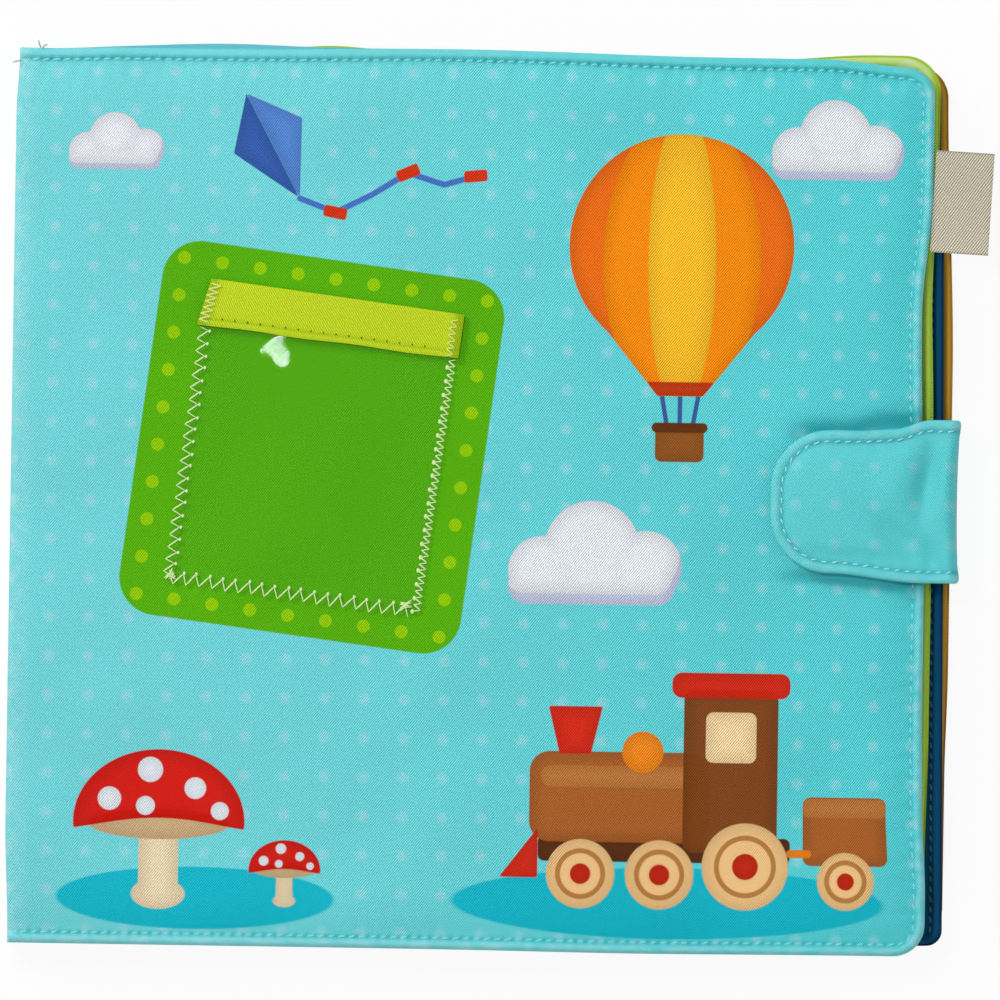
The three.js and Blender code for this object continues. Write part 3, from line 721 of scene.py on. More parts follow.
class Panel:
    """One padded half of a cover or leaf. Side is 1 where its face looks up, and -1 down.

    Its heights belong to a plain rectangle with rounded corners, which drape() brings to the
    uneven outline of the real piece.
    """

    def __init__(self, node, body, seam, side, root, inset=STITCH_INSET, tuck=0.0, outline=None,
                 furrow=None):
        low, high = box(node)
        self.body, self.seam, self.side, self.root, self.furrow = body, seam, side, root, furrow
        self.inset, self.outline, self.tuck = inset, outline or body, tuck
        self.left, self.right = low[0], high[0] - tuck
        self.rise, self.half = (low[1] + high[1]) / 2, (high[1] - low[1]) / 2 - tuck
        self.height = abs((high if side > 0 else low)[2] - seam)
        total = sum(np.hypot(*np.diff(self.half_seam(sign))).sum() for sign in (1, -1))
        self.pitch = total / round(total / STITCH_PITCH)

    def radius(self, y):
        top, bottom = CORNERS[self.outline]
        return np.where(y > self.rise, top, bottom)

    def fore_edge(self, y):
        """How far right the plain outline reaches."""
        radius = self.radius(y)
        over = np.clip(np.abs(y - self.rise) - (self.half - radius), 0, radius)
        return self.right - radius + np.sqrt(radius ** 2 - over ** 2)

    def edge_distance(self, x, y):
        """Distance in from the sewn edge, and the place along the seam."""
        off, radius = np.abs(y - self.rise), self.radius(y)
        cx, cy = self.right - radius, self.half - radius
        corner = (x > cx) & (off > cy)
        ends, fore = self.half - off, self.right - x
        inset = np.where(corner, radius - np.hypot(x - cx, off - cy), np.minimum(ends, fore))
        turn = np.arctan2(np.maximum(x - cx, 0), np.maximum(off - cy, 1e-9))
        start = cx - self.left - self.inset
        bend = (radius - self.inset) * np.where(corner, turn, math.pi / 2)
        straight = np.where(corner | (fore < ends), start + bend + np.where(corner, 0, cy - off),
                            x - self.left - self.inset)
        return np.maximum(inset, 0), straight

    def seam_dent_and_shade(self, x, y):
        """How near the stitch line is, and how near a needle hole: the depth of the groove, and the painted
        shade in it, at the holes and in the tab's furrows.
        """
        inset, along = self.edge_distance(x, y)
        groove = bump(inset, self.inset, GROOVE_WIDTH)
        dent_and_shade = groove * 0.4 * smooth(x, self.left + 1.5, self.left + 3)
        if self.furrow:
            # Painted shade, deepest at the needle holes, and painted shade in the furrows that the tab
            # presses in
            beat = (0.5 + 0.5 * np.cos(2 * math.pi * along / self.pitch)) ** 3
            beat = beat * (1 - 0.6 * smooth(x, self.right - 14, self.right - 4))
            dent_and_shade = dent_and_shade * (0.5 + 2 * beat) + 1.5 * self.furrow(x, y)
        return dent_and_shade

    def lift(self, x, y):
        """Height of the face over the seam."""
        inset, along = self.edge_distance(x, y)
        share = self.height / 2
        rim = 1.45 * share + uneven(along, inset, 0.07, 4.3, 0.6) * share
        swell = (0.09 * np.sin(x / 11.3 + y / 14.8 + 0.5) + 0.08 * np.sin(y / 10.5 - x / 7.5 + 1.9)
                 + 0.06 * np.sin(x / 4.9 - y / 6.1 + 4.4) - 0.23)
        crown = (self.height + share * swell) * quarter((inset - self.inset) / (CROWN_REACH - self.inset))
        floor = 0.85 * share * np.sqrt(np.clip(inset / 0.5, 0, 1))
        puckers = share * uneven(along, inset, 0.08, 3.6, 2.1)
        lift = sewn_form(inset, self.inset, rim, crown, floor, puckers, fade=4.2, full=3.4)
        lift = lift - 0.2 * share * self.seam_dent_and_shade(x, y)
        if self.furrow:
            lift = lift - self.furrow(x, y) * smooth(inset, 0, 4)
        return np.maximum(lift, 0) * self.root(x - self.left)

    def level(self, x, y):
        return self.seam + self.side * self.lift(x, y)

    def drape(self, points):
        """Brings points of the plain rectangle to the uneven outline."""
        fore, top, bottom = OUTLINES[self.outline]
        points = np.array(points, float)
        reach, rise = points[..., 0] - SPINE, points[..., 1] - MIDDLE
        high, low = self.rise + self.half - MIDDLE, self.rise - self.half - MIDDLE
        right = self.right - SPINE
        points[..., 0] += (fore(rise) - self.tuck - right) * smooth(reach, right - 40, right)
        points[..., 1] += (top(reach) - self.tuck - high) * smooth(rise, high - 30, high)
        points[..., 1] += (bottom(reach) + self.tuck - low) * smooth(-rise, -low - 30, -low)
        return nip(points)

    def surface(self, x, y, lift):
        """Draped points at these heights over the seam."""
        return self.drape(np.stack([x, y, self.seam + self.side * lift], axis=-1)).reshape(-1, 3)

    def half_seam(self, sign):
        """The stitch line from the root round one corner to the middle of the fore-edge."""
        radius = CORNERS[self.outline][0 if sign > 0 else 1]
        cx, cy, inner, samples = self.right - radius, self.half - radius, radius - self.inset, 300
        side = np.linspace(self.left + self.inset, cx, samples)
        turn = np.linspace(0, math.pi / 2, 40)[1:]
        down = np.linspace(cy, 0, samples)[1:]
        x = np.concatenate([side, cx + inner * np.sin(turn), 0 * down + self.right - self.inset])
        off = np.concatenate([0 * side + self.half - self.inset, cy + inner * np.cos(turn), down])
        return x, self.rise + sign * off


def leaf_root(distance):
    """A leaf runs out to its sewn root."""
    return 0.42 + 0.58 * smooth(distance, 0, 14)


def fold_root(distance):
    """A cover's lining rounds over at the fold."""
    return 0.35 + 0.65 * quarter(distance / 3)


def no_root(distance):
    return np.ones(np.shape(distance))


def cloth_layers(reach, y, seam, inked=False):
    """Point layers of a cloth: its place on the flat cloth, the painted shade of its seams and its print."""
    flat = np.stack([reach, y - MIDDLE, np.zeros_like(reach)], axis=-1).reshape(-1, 3)
    layers = {"flat": flat, "seam": seam.ravel()}
    if inked:
        for (name, _, _), (_, shape) in zip(INKS, print_inks(flat[:, 0], flat[:, 1])):
            layers[name] = np.clip(shape, -4, 4)
    return layers


def sheet_grid(panel, step, first=0.0):
    """Points of a panel's face on the plain rectangle, as x and y."""
    us = first + ladder(panel.right - panel.left - first, step, fine_start=False)
    vs = ladder(2 * panel.half, step)
    v, u = np.meshgrid(panel.rise - panel.half + vs, us, indexing="ij")
    return panel.left + u / (panel.right - panel.left) * (panel.fore_edge(v) - panel.left), v


def pad(name, panel, step, material, slot, *nodes, rim_shade=0.0, end_highlight=0.0):
    """A padded half as a closed form: its face, and a flat underside on the seam."""
    x, y = (np.concatenate([grid[:, :1], grid], axis=1) for grid in sheet_grid(panel, step))
    lift = panel.lift(x, y)
    lift[[0, -1]], lift[:, [0, -1]] = 0, 0
    faces = grid_faces(*x.shape) + [tuple(grid_rim(*x.shape))]
    # Painted shade along the sewn edge, and a painted highlight on the upper end where light falls
    under_rim = rim_shade * smooth(panel.edge_distance(x, y)[0], 0.55, 0.1)
    layers = cloth_layers(x - SPINE, y, np.maximum(panel.seam_dent_and_shade(x, y), under_rim))
    layers["painted_highlight"] = end_highlight * smooth(y - panel.rise, panel.half - 7, panel.half - 2).ravel()
    make_piece(name, (panel.surface(x, y, lift), faces), material, panel.body, slot, *nodes,
                         layers=layers)


def skin(name, panel, step, spine_end, material, body, *nodes, inked=False):
    """A cover's outer half with its share of the spine, which turns down at the fold."""
    x, y = (grid[:, 1:] for grid in sheet_grid(panel, step, SPINE_BEND))
    edge = y[:, 0]
    lift = panel.lift(x, y)
    full = panel.lift(np.full_like(edge, panel.left + 2 * SPINE_BEND), edge)
    lift[[0, -1]], lift[:, -1], full[[0, -1]] = 0, 0, 0
    straight, rounding = np.maximum(full - SPINE_BEND, 0), np.minimum(full, SPINE_BEND)
    tallest = straight.max()

    # The spine's columns, as (distance from its face, height, way along the cloth)
    depths = np.array([0, 0.15, 0.3, 0.5, 0.75, 1.1, 1.6, 2.2, abs(panel.seam - spine_end)])
    columns = [(CLOTH_THICKNESS, -depth, -depth) for depth in depths]
    columns += [(0, -depth, -depth) for depth in depths[::-1]]
    columns += [(0, straight * share, tallest * share) for share in (0.35, 0.7)]
    columns += [(SPINE_BEND * (1 - math.cos(a)), straight + rounding * math.sin(a), tallest + SPINE_BEND * a)
                for a in np.linspace(0, math.pi / 2, 7)]
    columns = [np.broadcast_arrays(*column, edge)[:3] for column in columns]
    inset, height, along = (np.stack(values, 1) for values in zip(*columns))
    unrolled = tallest + SPINE_BEND * math.pi / 2 - SPINE_BEND
    xs = np.concatenate([panel.left + inset, x], 1)
    reach = np.concatenate([along - unrolled, x - SPINE], 1)
    ys = np.repeat(edge[:, None], xs.shape[1], axis=1)
    points = panel.surface(xs, ys, np.concatenate([height, lift], 1))

    # The cloth is folded at its lower edge, and closed between its inner edge and the seam
    (rows, width), count = xs.shape, len(depths)
    outer_column = 2 * count - 1
    faces = grid_faces(rows, width)
    for row in (0, rows - 1):
        for k in range(count - 1):
            inner, outer = row * width + k, row * width + outer_column - k
            faces.append((inner, inner + 1, outer - 1, outer))
    replaced = {r * width + outer_column for r in range(1, rows - 1)}
    rim = [i for i in grid_rim(rows, width, outer_column) if i not in replaced]
    turn = rim.index(outer_column)
    faces.append(tuple(rim[turn:turn + 1] + [r * width for r in range(rows)] + rim[turn + 1:] + rim[:turn]))

    # Painted highlight along the rim, weaker along the top, and at the fold by the spine where light falls
    along_top = smooth(y - panel.rise, panel.half - 6, panel.half - 3)
    painted_highlight = bump(panel.edge_distance(x, y)[0], 0.9, 0.8) * (1 - 0.8 * along_top)
    painted_highlight = np.maximum(painted_highlight, 0.6 * smooth(x - panel.left, 6, 1))
    layers = cloth_layers(reach, ys, np.concatenate([0 * inset, panel.seam_dent_and_shade(x, y)], 1), inked)
    layers["painted_highlight"] = np.concatenate([0 * inset + 0.6, painted_highlight], 1).ravel()
    piece = make_piece(name, (points, faces), material, body, "cover_cloth", *nodes, layers=layers)
    return piece


def stitches(path, pitch, level, side, finish, long=STITCH_LENGTH, radius=THREAD_RADIUS):
    """Stitches along a path, lying on a surface and diving into it at both ends."""
    x, y = path
    length = np.concatenate([[0], np.cumsum(np.hypot(np.diff(x), np.diff(y)))])
    count = int(round(length[-1] / pitch))
    at = (np.arange(count) + 0.5) * length[-1] / count
    px, py = np.interp(at, length, x), np.interp(at, length, y)
    dx, dy = np.interp(at + 0.05, length, x) - px, np.interp(at + 0.05, length, y) - py
    order = np.arange(count)
    heading = np.arctan2(dy, dx) + 0.22 + 0.12 * np.sin(order * 2.4)
    share = np.linspace(-1, 1, 7)
    length = long * (1 + 0.12 * np.sin(order * 3.9 + 1))
    sx = px[:, None] + (np.cos(heading) * length)[:, None] * share / 2
    sy = py[:, None] + (np.sin(heading) * length)[:, None] * share / 2
    sink = 0.25 * np.sin(order * 1.3) + 0.2 * np.sin(order * 0.31)
    z = level(px, py)[:, None] + side * radius * (0.6 - 2.0 * share ** 4 + sink[:, None])
    return threads(finish(np.stack([sx, sy, z], axis=-1)), radius)


def topstitch(name, panels, material, slot):
    """The sewn line of a cover or leaf, on both of its faces."""
    parts = []
    for panel in panels:
        upper, lower = panel.half_seam(1), panel.half_seam(-1)
        path = [np.concatenate([there, back[-2::-1]]) for there, back in zip(upper, lower)]
        parts.append(stitches(path, panel.pitch, panel.level, panel.side, panel.drape))
    make_piece(name, join(parts), material, panels[0].body, slot)


# Covers

SPINE_BEND = 1.3
COVER_STEP = STITCH_PITCH / 5
PAGE_STEP = 1.6
FRONT_SPINE_END = (LEAF_SEAMS[1] + FRONT_SEAM) / 2
BACK_SPINE_END = (BACK_SEAM + LEAF_SEAMS[3]) / 2

front = Panel("front_cover_cloth", "front_cover", FRONT_SEAM, 1, no_root, furrow=tab_furrow)
front_inner = Panel("front_cover_lining", "front_cover", FRONT_SEAM, -1, fold_root, outline="front_lining")
back = Panel("back_cover_cloth", "back_cover", BACK_SEAM, -1, no_root)
back_inner = Panel("back_cover_lining", "back_cover", BACK_SEAM, 1, fold_root)

front_skin = skin("front_cover_pad", front, COVER_STEP, FRONT_SPINE_END, printed_cloth, None,
                  "front_cover_cloth", "front_cover_wadding", "spine_cloth_leaf_1", inked=True)
fold(front_skin, "leaf_1", "front_cover", (SPINE, FRONT_SEAM - 0.6), (SPINE + 0.5, FRONT_SEAM + 0.2))
skin("back_cover_pad", back, PAGE_STEP, BACK_SPINE_END, dotted_cloth, "back_cover",
     "back_cover_cloth", "back_cover_wadding", "spine_cloth_back")
for inner in (front_inner, back_inner):
    pad(f"{inner.body}_lining_pad", inner, PAGE_STEP, lining_cloth, "cover_lining", f"{inner.body}_lining")
for panels in ((front, front_inner), (back, back_inner)):
    topstitch(f"{panels[0].body}_topstitch", panels, turquoise_thread, "cover_cloth")

# Leaves, whose lower cloth rolls a little past the upper one
LEAF_TUCK = 0.45
for n, slot in ((1, "leaf_lime"), (2, "leaf_blue"), (3, "leaf_ochre")):
    leaf = f"leaf_{n}"
    upper = Panel(f"{leaf}_front_cloth", leaf, LEAF_SEAMS[n], 1, leaf_root, LEAF_INSET, tuck=LEAF_TUCK)
    lower = Panel(f"{leaf}_back_cloth", leaf, LEAF_SEAMS[n], -1, leaf_root, LEAF_INSET)
    pad(f"{leaf}_front_pad", upper, PAGE_STEP, LEAF_CLOTHS[n], slot, f"{leaf}_front_cloth",
        f"{leaf}_wadding", rim_shade=0.3, end_highlight=1.6 if n == 1 else 0)
    pad(f"{leaf}_back_pad", lower, PAGE_STEP, LEAF_CLOTHS[n], slot, f"{leaf}_back_cloth", rim_shade=0.6)
    topstitch(f"{leaf}_topstitch", [upper, lower], LEAF_THREADS[n], slot)


# Spine, between the covers' shares of it

def spine_slab(name, node, low, high, hinge, bodies, material, slot, *nodes):
    """A stretch of spine cloth across one fold line. Each stretch ends halfway between two lines."""
    left, right = box(node)[0][0], box(node)[1][0]
    ys = np.linspace(COVER_LOW[1] + 0.4, COVER_HIGH[1] - 0.8, 81)
    zs = np.concatenate([[low], np.linspace(hinge - 0.9, hinge + 0.9, 13), [high]])
    ring_x = np.repeat([left, right], len(zs))
    z, y = np.meshgrid(np.concatenate([zs, zs[::-1]]), ys)
    points = nip(np.stack([np.broadcast_to(ring_x, z.shape), y, z], axis=-1)).reshape(-1, 3)
    piece = make_piece(name, (points, ring_faces(*z.shape)), material, None, slot, *nodes,
                       layers=cloth_layers(z - FRONT_SEAM, y, 0 * z))
    width, length, least = (high - low) * MM, (ys[-1] - ys[0]) * MM, 0.01
    max(width, least)
    fold(piece, *bodies, (left, hinge - 0.5), (left, hinge + 0.5))


cloth_ends = [BACK_SPINE_END, (LEAF_SEAMS[3] + LEAF_SEAMS[2]) / 2, (LEAF_SEAMS[2] + LEAF_SEAMS[1]) / 2,
              FRONT_SPINE_END]
lining_ends = [box("back_cover_lining")[1][2] - 0.2, cloth_ends[1], cloth_ends[2],
               box("front_cover_lining")[0][2] + 0.2]
FOLDS = [(3, "back_cover", "leaf_3", ["spine_cloth_leaf_3"], ["spine_lining_back"]),
         (2, "leaf_3", "leaf_2", ["spine_cloth_leaf_2"], ["spine_lining_leaf_3"]),
         (1, "leaf_2", "leaf_1", ["spine_cloth_leaf_2"], ["spine_lining_leaf_2", "spine_lining_leaf_1"])]
for k, (n, below, above, cloth_nodes, lining_nodes) in enumerate(FOLDS):
    spine_slab(f"spine_fold_{n}", "spine_cloth_back", cloth_ends[k], cloth_ends[k + 1], LEAF_SEAMS[n],
               (below, above), dotted_cloth, "cover_cloth", *cloth_nodes)
    spine_slab(f"spine_lining_fold_{n}", "spine_lining_back", lining_ends[k], lining_ends[k + 1],
               LEAF_SEAMS[n], (below, above), lining_cloth, "cover_lining", *lining_nodes)


# Photo pockets

SEAM_LEVEL = 0.5
STAND_OFF = 0.16
RIBBON_FACE = 1.26
RIBBON_OVER = 1.2
RIBBON_ASKEW = 1.7
WINDOW_THICK = 0.22
WINDOW_UNDER_FOLD = 0.9
WINDOW_RISE = 0.34
WINDOW_EDGE = 6
RIPPLE_HEIGHT = 0.03
BLISTER = (-4.9, 13.1)
BLISTER_RADIUS = 11.3
BLISTER_CURVE = 80
BLISTER_SOFTNESS = 0.12


def window(name, place, size, body, node, step):
    """A clear window, sewn down on three sides, that stands off the cloth in one low blister."""
    half_x, half_y = size[0] / 2, size[1] / 2
    xs = np.linspace(-half_x, half_x, int(size[0] / step))
    ys = np.linspace(-half_y, half_y - WINDOW_UNDER_FOLD, int(size[1] / step))
    y, x = np.meshgrid(ys, xs, indexing="ij")
    inset = np.minimum(np.minimum(half_x - np.abs(x), y + half_y), WINDOW_EDGE) / WINDOW_EDGE
    across = np.hypot(x - BLISTER[0], y - BLISTER[1])
    dome = (BLISTER_RADIUS ** 2 - across ** 2) / (2 * BLISTER_CURVE)
    blister = BLISTER_SOFTNESS * np.logaddexp(0, dome / BLISTER_SOFTNESS)
    ripple = RIPPLE_HEIGHT * np.sin(x / 3.7 + y / 6.5 + 0.3) * inset
    ripple = ripple * smooth(across, BLISTER_RADIUS, BLISTER_RADIUS + 5)
    z = STAND_OFF + WINDOW_RISE * quarter(inset) + blister * inset + ripple
    points, faces = slab(np.stack([x, y, z + WINDOW_THICK], -1), np.stack([x, y, z], -1))
    piece = make_piece(name, (place(points), faces), clear_vinyl, body, "clear_vinyl", node)


def ribbon(name, place, size, body, node):
    """A ribbon folded over the window's open edge, with its fold at the top and one end cut askew."""
    half, top, gap, thick = size[0] / 2 + RIBBON_OVER, size[1] / 2, 0.42, 0.3
    outer = gap / 2 + thick
    up = STAND_OFF + outer
    turn = np.linspace(math.pi / 2, -math.pi / 2, 9)
    tall = RIBBON_WIDTH - outer
    legs = np.concatenate([[0, 0.12, 0.3, 0.55, 0.85, 1.15, 1.45, 1.75, 2.1, 2.8, 4.2, 5.6, 6.8, 7.6],
                           [tall - 0.2, tall]])
    lip = (0.16 * bump(legs, 0.65, 0.45) - 0.14 * bump(legs, 1.5, 0.35)
           + 0.1 * np.sin(math.pi * legs / tall))
    xs = np.linspace(-half, half, max(48, int(size[0] / 1.2)))
    rings, flats = [], []
    for x in xs:
        end = float(smooth(half - abs(x), 3.2, 0.8))
        low = top - RIBBON_WIDTH + 0.12 * math.sin(x / 3.7) + 0.3 * x / half
        rounding = 0.3 * end - 0.35 * float(smooth(half - abs(x), 0.6, 0))
        front_y = low + legs * (top - outer - low) / tall
        front_leg = np.stack([front_y, up + outer + lip + rounding], -1)
        top_turn = np.stack([top - outer + outer * np.cos(turn), up + outer * np.sin(turn)], -1)[1:-1]
        back_leg = np.stack([front_y[::-1], np.full(len(legs), up - outer)], -1)
        ring = np.concatenate([front_leg, top_turn, back_leg, back_leg[::-1] + [0, thick],
                               front_leg[::-1] - [0, thick]])
        walk = np.concatenate([[0], np.cumsum(np.hypot(*np.diff(ring, axis=0).T))])
        askew = RIBBON_ASKEW * np.clip((ring[:, 0] - low) / tall, 0, 1) * smooth(-x, half - 12, half)
        rings.append(np.stack([x + askew, ring[:, 0], ring[:, 1]], 1))
        flats.append(np.stack([np.full(len(ring), x), walk, 0 * walk], -1))
    # Painted shade in a crease near the lower edge and at the sewn ends
    shade = np.tile(0.5 * bump(flats[0][:, 1], 1.5, 0.35), (len(xs), 1))
    ends = 0.8 * smooth(half - np.abs(xs), 3.0, 1.0)[:, None]
    layers = {"flat": np.concatenate(flats), "seam": np.maximum(shade, ends).ravel()}
    shape = place(np.concatenate(rings)), ring_faces(len(xs), len(rings[0]))
    piece = make_piece(name, shape, ribbon_cloth, body, "ribbon", node, layers=layers)


def zigzag(start, end, inward, pitch, width, level=SEAM_LEVEL):
    """A zigzag between two places: its thick legs, its thin legs and its inner points."""
    start, end, inward = np.array(start, float), np.array(end, float), np.array(inward, float)
    length = np.linalg.norm(end - start)
    count = int(round(length / pitch))
    step = (end - start) / count
    k = np.arange(count)[:, None]
    wobble = 0.05 * width * np.sin(k * 1.7 + start[0])
    inner = start + step * (k + 0.1 + 0.05 * np.sin(k * 2.3)) + inward * (width / 2 + wobble)
    outer = start + step * (k + 0.42) - inward * (width / 2 - wobble)
    return arches(outer[:-1], inner[1:], level, 0.22), arches(inner, outer, level, 0.12), inner


def tangle(middle, radius, count, seed):
    """Short strands across one another at a sewn corner, with the loose look of a knot."""
    draw, level = np.random.default_rng(seed), SEAM_LEVEL + 0.15
    angle, turn = draw.uniform(0, 2 * math.pi, (2, count))
    near = np.array(middle) + 0.35 * radius * np.stack([np.cos(turn), np.sin(turn)], -1)
    reach = np.stack([np.cos(angle), np.sin(angle)], -1) * radius * draw.uniform(0.6, 1.1, (count, 1))
    return arches(near - reach, near + reach, level, draw.uniform(0.1, 0.4, count))


def pocket(prefix, middle, level, lean, side, size, body, step, seed):
    """A whole pocket: window, ribbon, the seam round three sides and the ribbon's sewn ends."""
    c, s = math.cos(lean), math.sin(lean)

    def place(points):
        x, y, z = points[..., 0] * side, points[..., 1], points[..., 2]
        return np.stack([middle[0] + x * c - y * s, middle[1] + x * s + y * c, level + side * z], axis=-1)

    window(f"{prefix}_window_sheet", place, size, body, f"{prefix}_window", step)
    ribbon(f"{prefix}_ribbon_fold", place, size, body, f"{prefix}_ribbon")
    left, right, bottom = -size[0] / 2 + 0.45, size[0] / 2, 0.15 - size[1] / 2
    top, half = size[1] / 2 - RIBBON_WIDTH, size[0] / 2 + RIBBON_OVER
    seams = [zigzag((left, bottom), (left, top + 0.9), (1, 0), pitch=2.7, width=2.15),
             zigzag((left, bottom), (right, bottom), (0, 1), pitch=2.85, width=2.55),
             zigzag((right, bottom), (right, top + 0.9), (-1, 0), pitch=1.5, width=1.7)]
    rows = [(thick, 0.19) for thick, _, _ in seams] + [(thin, 0.14) for _, thin, _ in seams]
    rows += [(tangle((right - 2.5, bottom + 1.3), 1.3, 12, seed), 0.16),
             (tangle((left + 0.5, bottom + 0.4), 1.2, 8, seed + 1), 0.16)]
    parts = [threads(place(strands), radius) for strands, radius in rows]

    def spots(places, radius, height, level):
        knots, faces = beads(places, radius, height, level)
        return place(knots), faces

    # Pale beads at the zigzags' inner points: partly thread where the needle went through, and partly a
    # painted highlight standing for glare on the vinyl's puckers
    for places, radius in ((seams[0][2] + (0.3, 0), 0.34), (seams[1][2] + (0.15, 0.1), 0.36),
                           (seams[2][2][::2], 0.45)):
        parts.append(spots(places, radius, 0.2, SEAM_LEVEL))
    make_piece(f"{prefix}_seam", join(parts), pocket_thread, body, "ribbon")

    face, upper, tack = RIBBON_FACE + 0.25, size[1] / 2, 1.4 - half
    ends = [(zigzag((tack, top + 0.3), (tack + RIBBON_ASKEW, upper - 0.3), (1, 0), 1.4, 2.4, face), 0.2),
            (zigzag((half - 2.1, top + 0.4), (half - 2.1, upper - 0.5), (-1, 0), 1.5, 1.7, face), 0.16)]
    tacks = [threads(place(strands), radius) for end, radius in ends for strands in end[:2]]
    make_piece(f"{prefix}_tacks", join(tacks), tack_thread, body, "ribbon")

    # Dark beads along the ribbon stand for the shade inside its needle holes
    hole_x = np.arange(-size[0] / 2 + 4.2, size[0] / 2 - 4, HOLE_PITCH)
    row = np.stack([hole_x, top + 1.8 + 0.6 * hole_x / size[0]], -1)
    make_piece(f"{prefix}_ribbon_holes", spots(row, 0.2, 0.12, RIBBON_FACE - 0.04), hole_shade, body,
               "ribbon")


FRONT_POCKET = np.mean(box("front_pocket_window"), axis=0)[:2]
pocket("front_pocket", FRONT_POCKET, COVER_HIGH[2], POCKET_LEAN, 1, POCKET_SIZE, "front_cover", step=0.5,
       seed=11)
PAGE_CLEARANCE = 0.15
page_pockets = [("back_inner", "back_cover", 1), ("front_inner", "front_cover", -1)]
page_pockets += [(f"leaf_{n}_{face}", f"leaf_{n}", side)
                 for n in (1, 2, 3) for face, side in (("front", 1), ("back", -1))]
for order, (prefix, body, side) in enumerate(page_pockets):
    low, high = box(f"{prefix}_ribbon")
    middle = ((low[0] + high[0]) / 2, (box(f"{prefix}_window")[0][1] + high[1]) / 2)
    level = low[2] - PAGE_CLEARANCE if side > 0 else high[2] + PAGE_CLEARANCE
    pocket(prefix, middle, level, 0.0, side, PAGE_POCKET_SIZE, body, step=3.0, seed=40 + 20 * order)


# Closure tab

WRAP_LOW, WRAP_HIGH = box("tab_wrap_cloth")
END_LOW, END_HIGH = box("tab_end_cloth")
TAB_FACE = WRAP_HIGH[0]
TAB_HALF = 0.85
TAB_LEVEL = END_HIGH[2] - TAB_HALF
TAB_TIP = END_LOW[0] - 0.6
TAB_RADIUS = 13.0
TAB_BEND = 1.7
TAB_HALF_WIDTH = 18
TAB_DOT_SHIFT = (1.7, 1.47)
TAB_SPLIT = (WRAP_LOW[2] + WRAP_HIGH[2]) / 2


def tab_sides(x):
    """The tab's upper and lower side at a place along its end. Both flare where it leaves the cover."""
    reach = x - SPINE
    top = 17.0 + 0.5 * smooth(reach, 188, 197) + 2.1 * smooth(reach, 195.5, 204)
    bottom = -14.7 - 1.9 * smooth(reach, 181, 202)
    return MIDDLE + top, MIDDLE + bottom


def tab_inset(x, y):
    """Distance in from the outline of the tab's end."""
    top, bottom = tab_sides(x)
    ends, depth = np.minimum(top - y, y - bottom), x - TAB_TIP
    corner = (ends < TAB_RADIUS) & (depth < TAB_RADIUS)
    rounded = TAB_RADIUS - np.hypot(TAB_RADIUS - depth, TAB_RADIUS - ends)
    return np.maximum(np.where(corner, rounded, np.minimum(ends, depth)), 0)


def tab_lift(inset, along):
    """Half thickness of the tab: a rim outside its stitches and a soft middle inside them."""
    rim = 0.78 + uneven(along, inset, 0.05, 4.1, 1.0)
    crown = 1.05 * quarter((inset - STITCH_INSET) / 4.5)
    floor = 0.55 * np.sqrt(np.clip(inset / 0.4, 0, 1))
    puckers = uneven(along, inset, 0.05, 3.9, 0.4)
    return sewn_form(inset, STITCH_INSET, rim, crown, floor, puckers, fade=3, full=3.2)


def tab_shape(x, y):
    """How far the tab's end stands off its plane, with the dents that pulling it shut leaves."""
    dents = [(203.2, 5.5, 2.8, 8.0, -0.15, -2.0), (197.5, -7.5, 2.8, 8.0, 0.85, -1.5),
             (204.5, -10.5, 2.2, 4.5, 0.3, -1.0), (188, -11.0, 14, 1.9, -0.06, -0.5),
             (190, 13.4, 13, 1.7, 0.04, -0.4), (183, 2.5, 9, 9, 0, 0.5), (196, 6, 4, 8, -0.3, 0.6)]
    height = np.zeros(np.shape(x))
    for reach, rise, wide, tall, turn, depth in dents:
        dx, dy = x - SPINE - reach, y - MIDDLE - rise
        u, v = dx * math.cos(turn) + dy * math.sin(turn), dy * math.cos(turn) - dx * math.sin(turn)
        height = height + depth * np.exp(-(u / wide) ** 2 - (v / tall) ** 2)
    return height * smooth(TAB_FACE - x, 1.0, 5.0)


def tab_pull(x, y, z):
    """How far the pull of the tab draws its fold inwards, most in the middle of its width."""
    return 1.3 * tab_hold(y - MIDDLE) * np.exp(-np.maximum(0, TAB_FACE - x - 1.5) / 4) * smooth(z, 1.5, 6)


def bend(x, z, start, end):
    """A quarter turn of the tab's middle line, as (x, z, normal x, normal z)."""
    return [(x + TAB_BEND * math.cos(a), z + TAB_BEND * math.sin(a), math.cos(a), math.sin(a))
            for a in np.linspace(start, end, 9)]


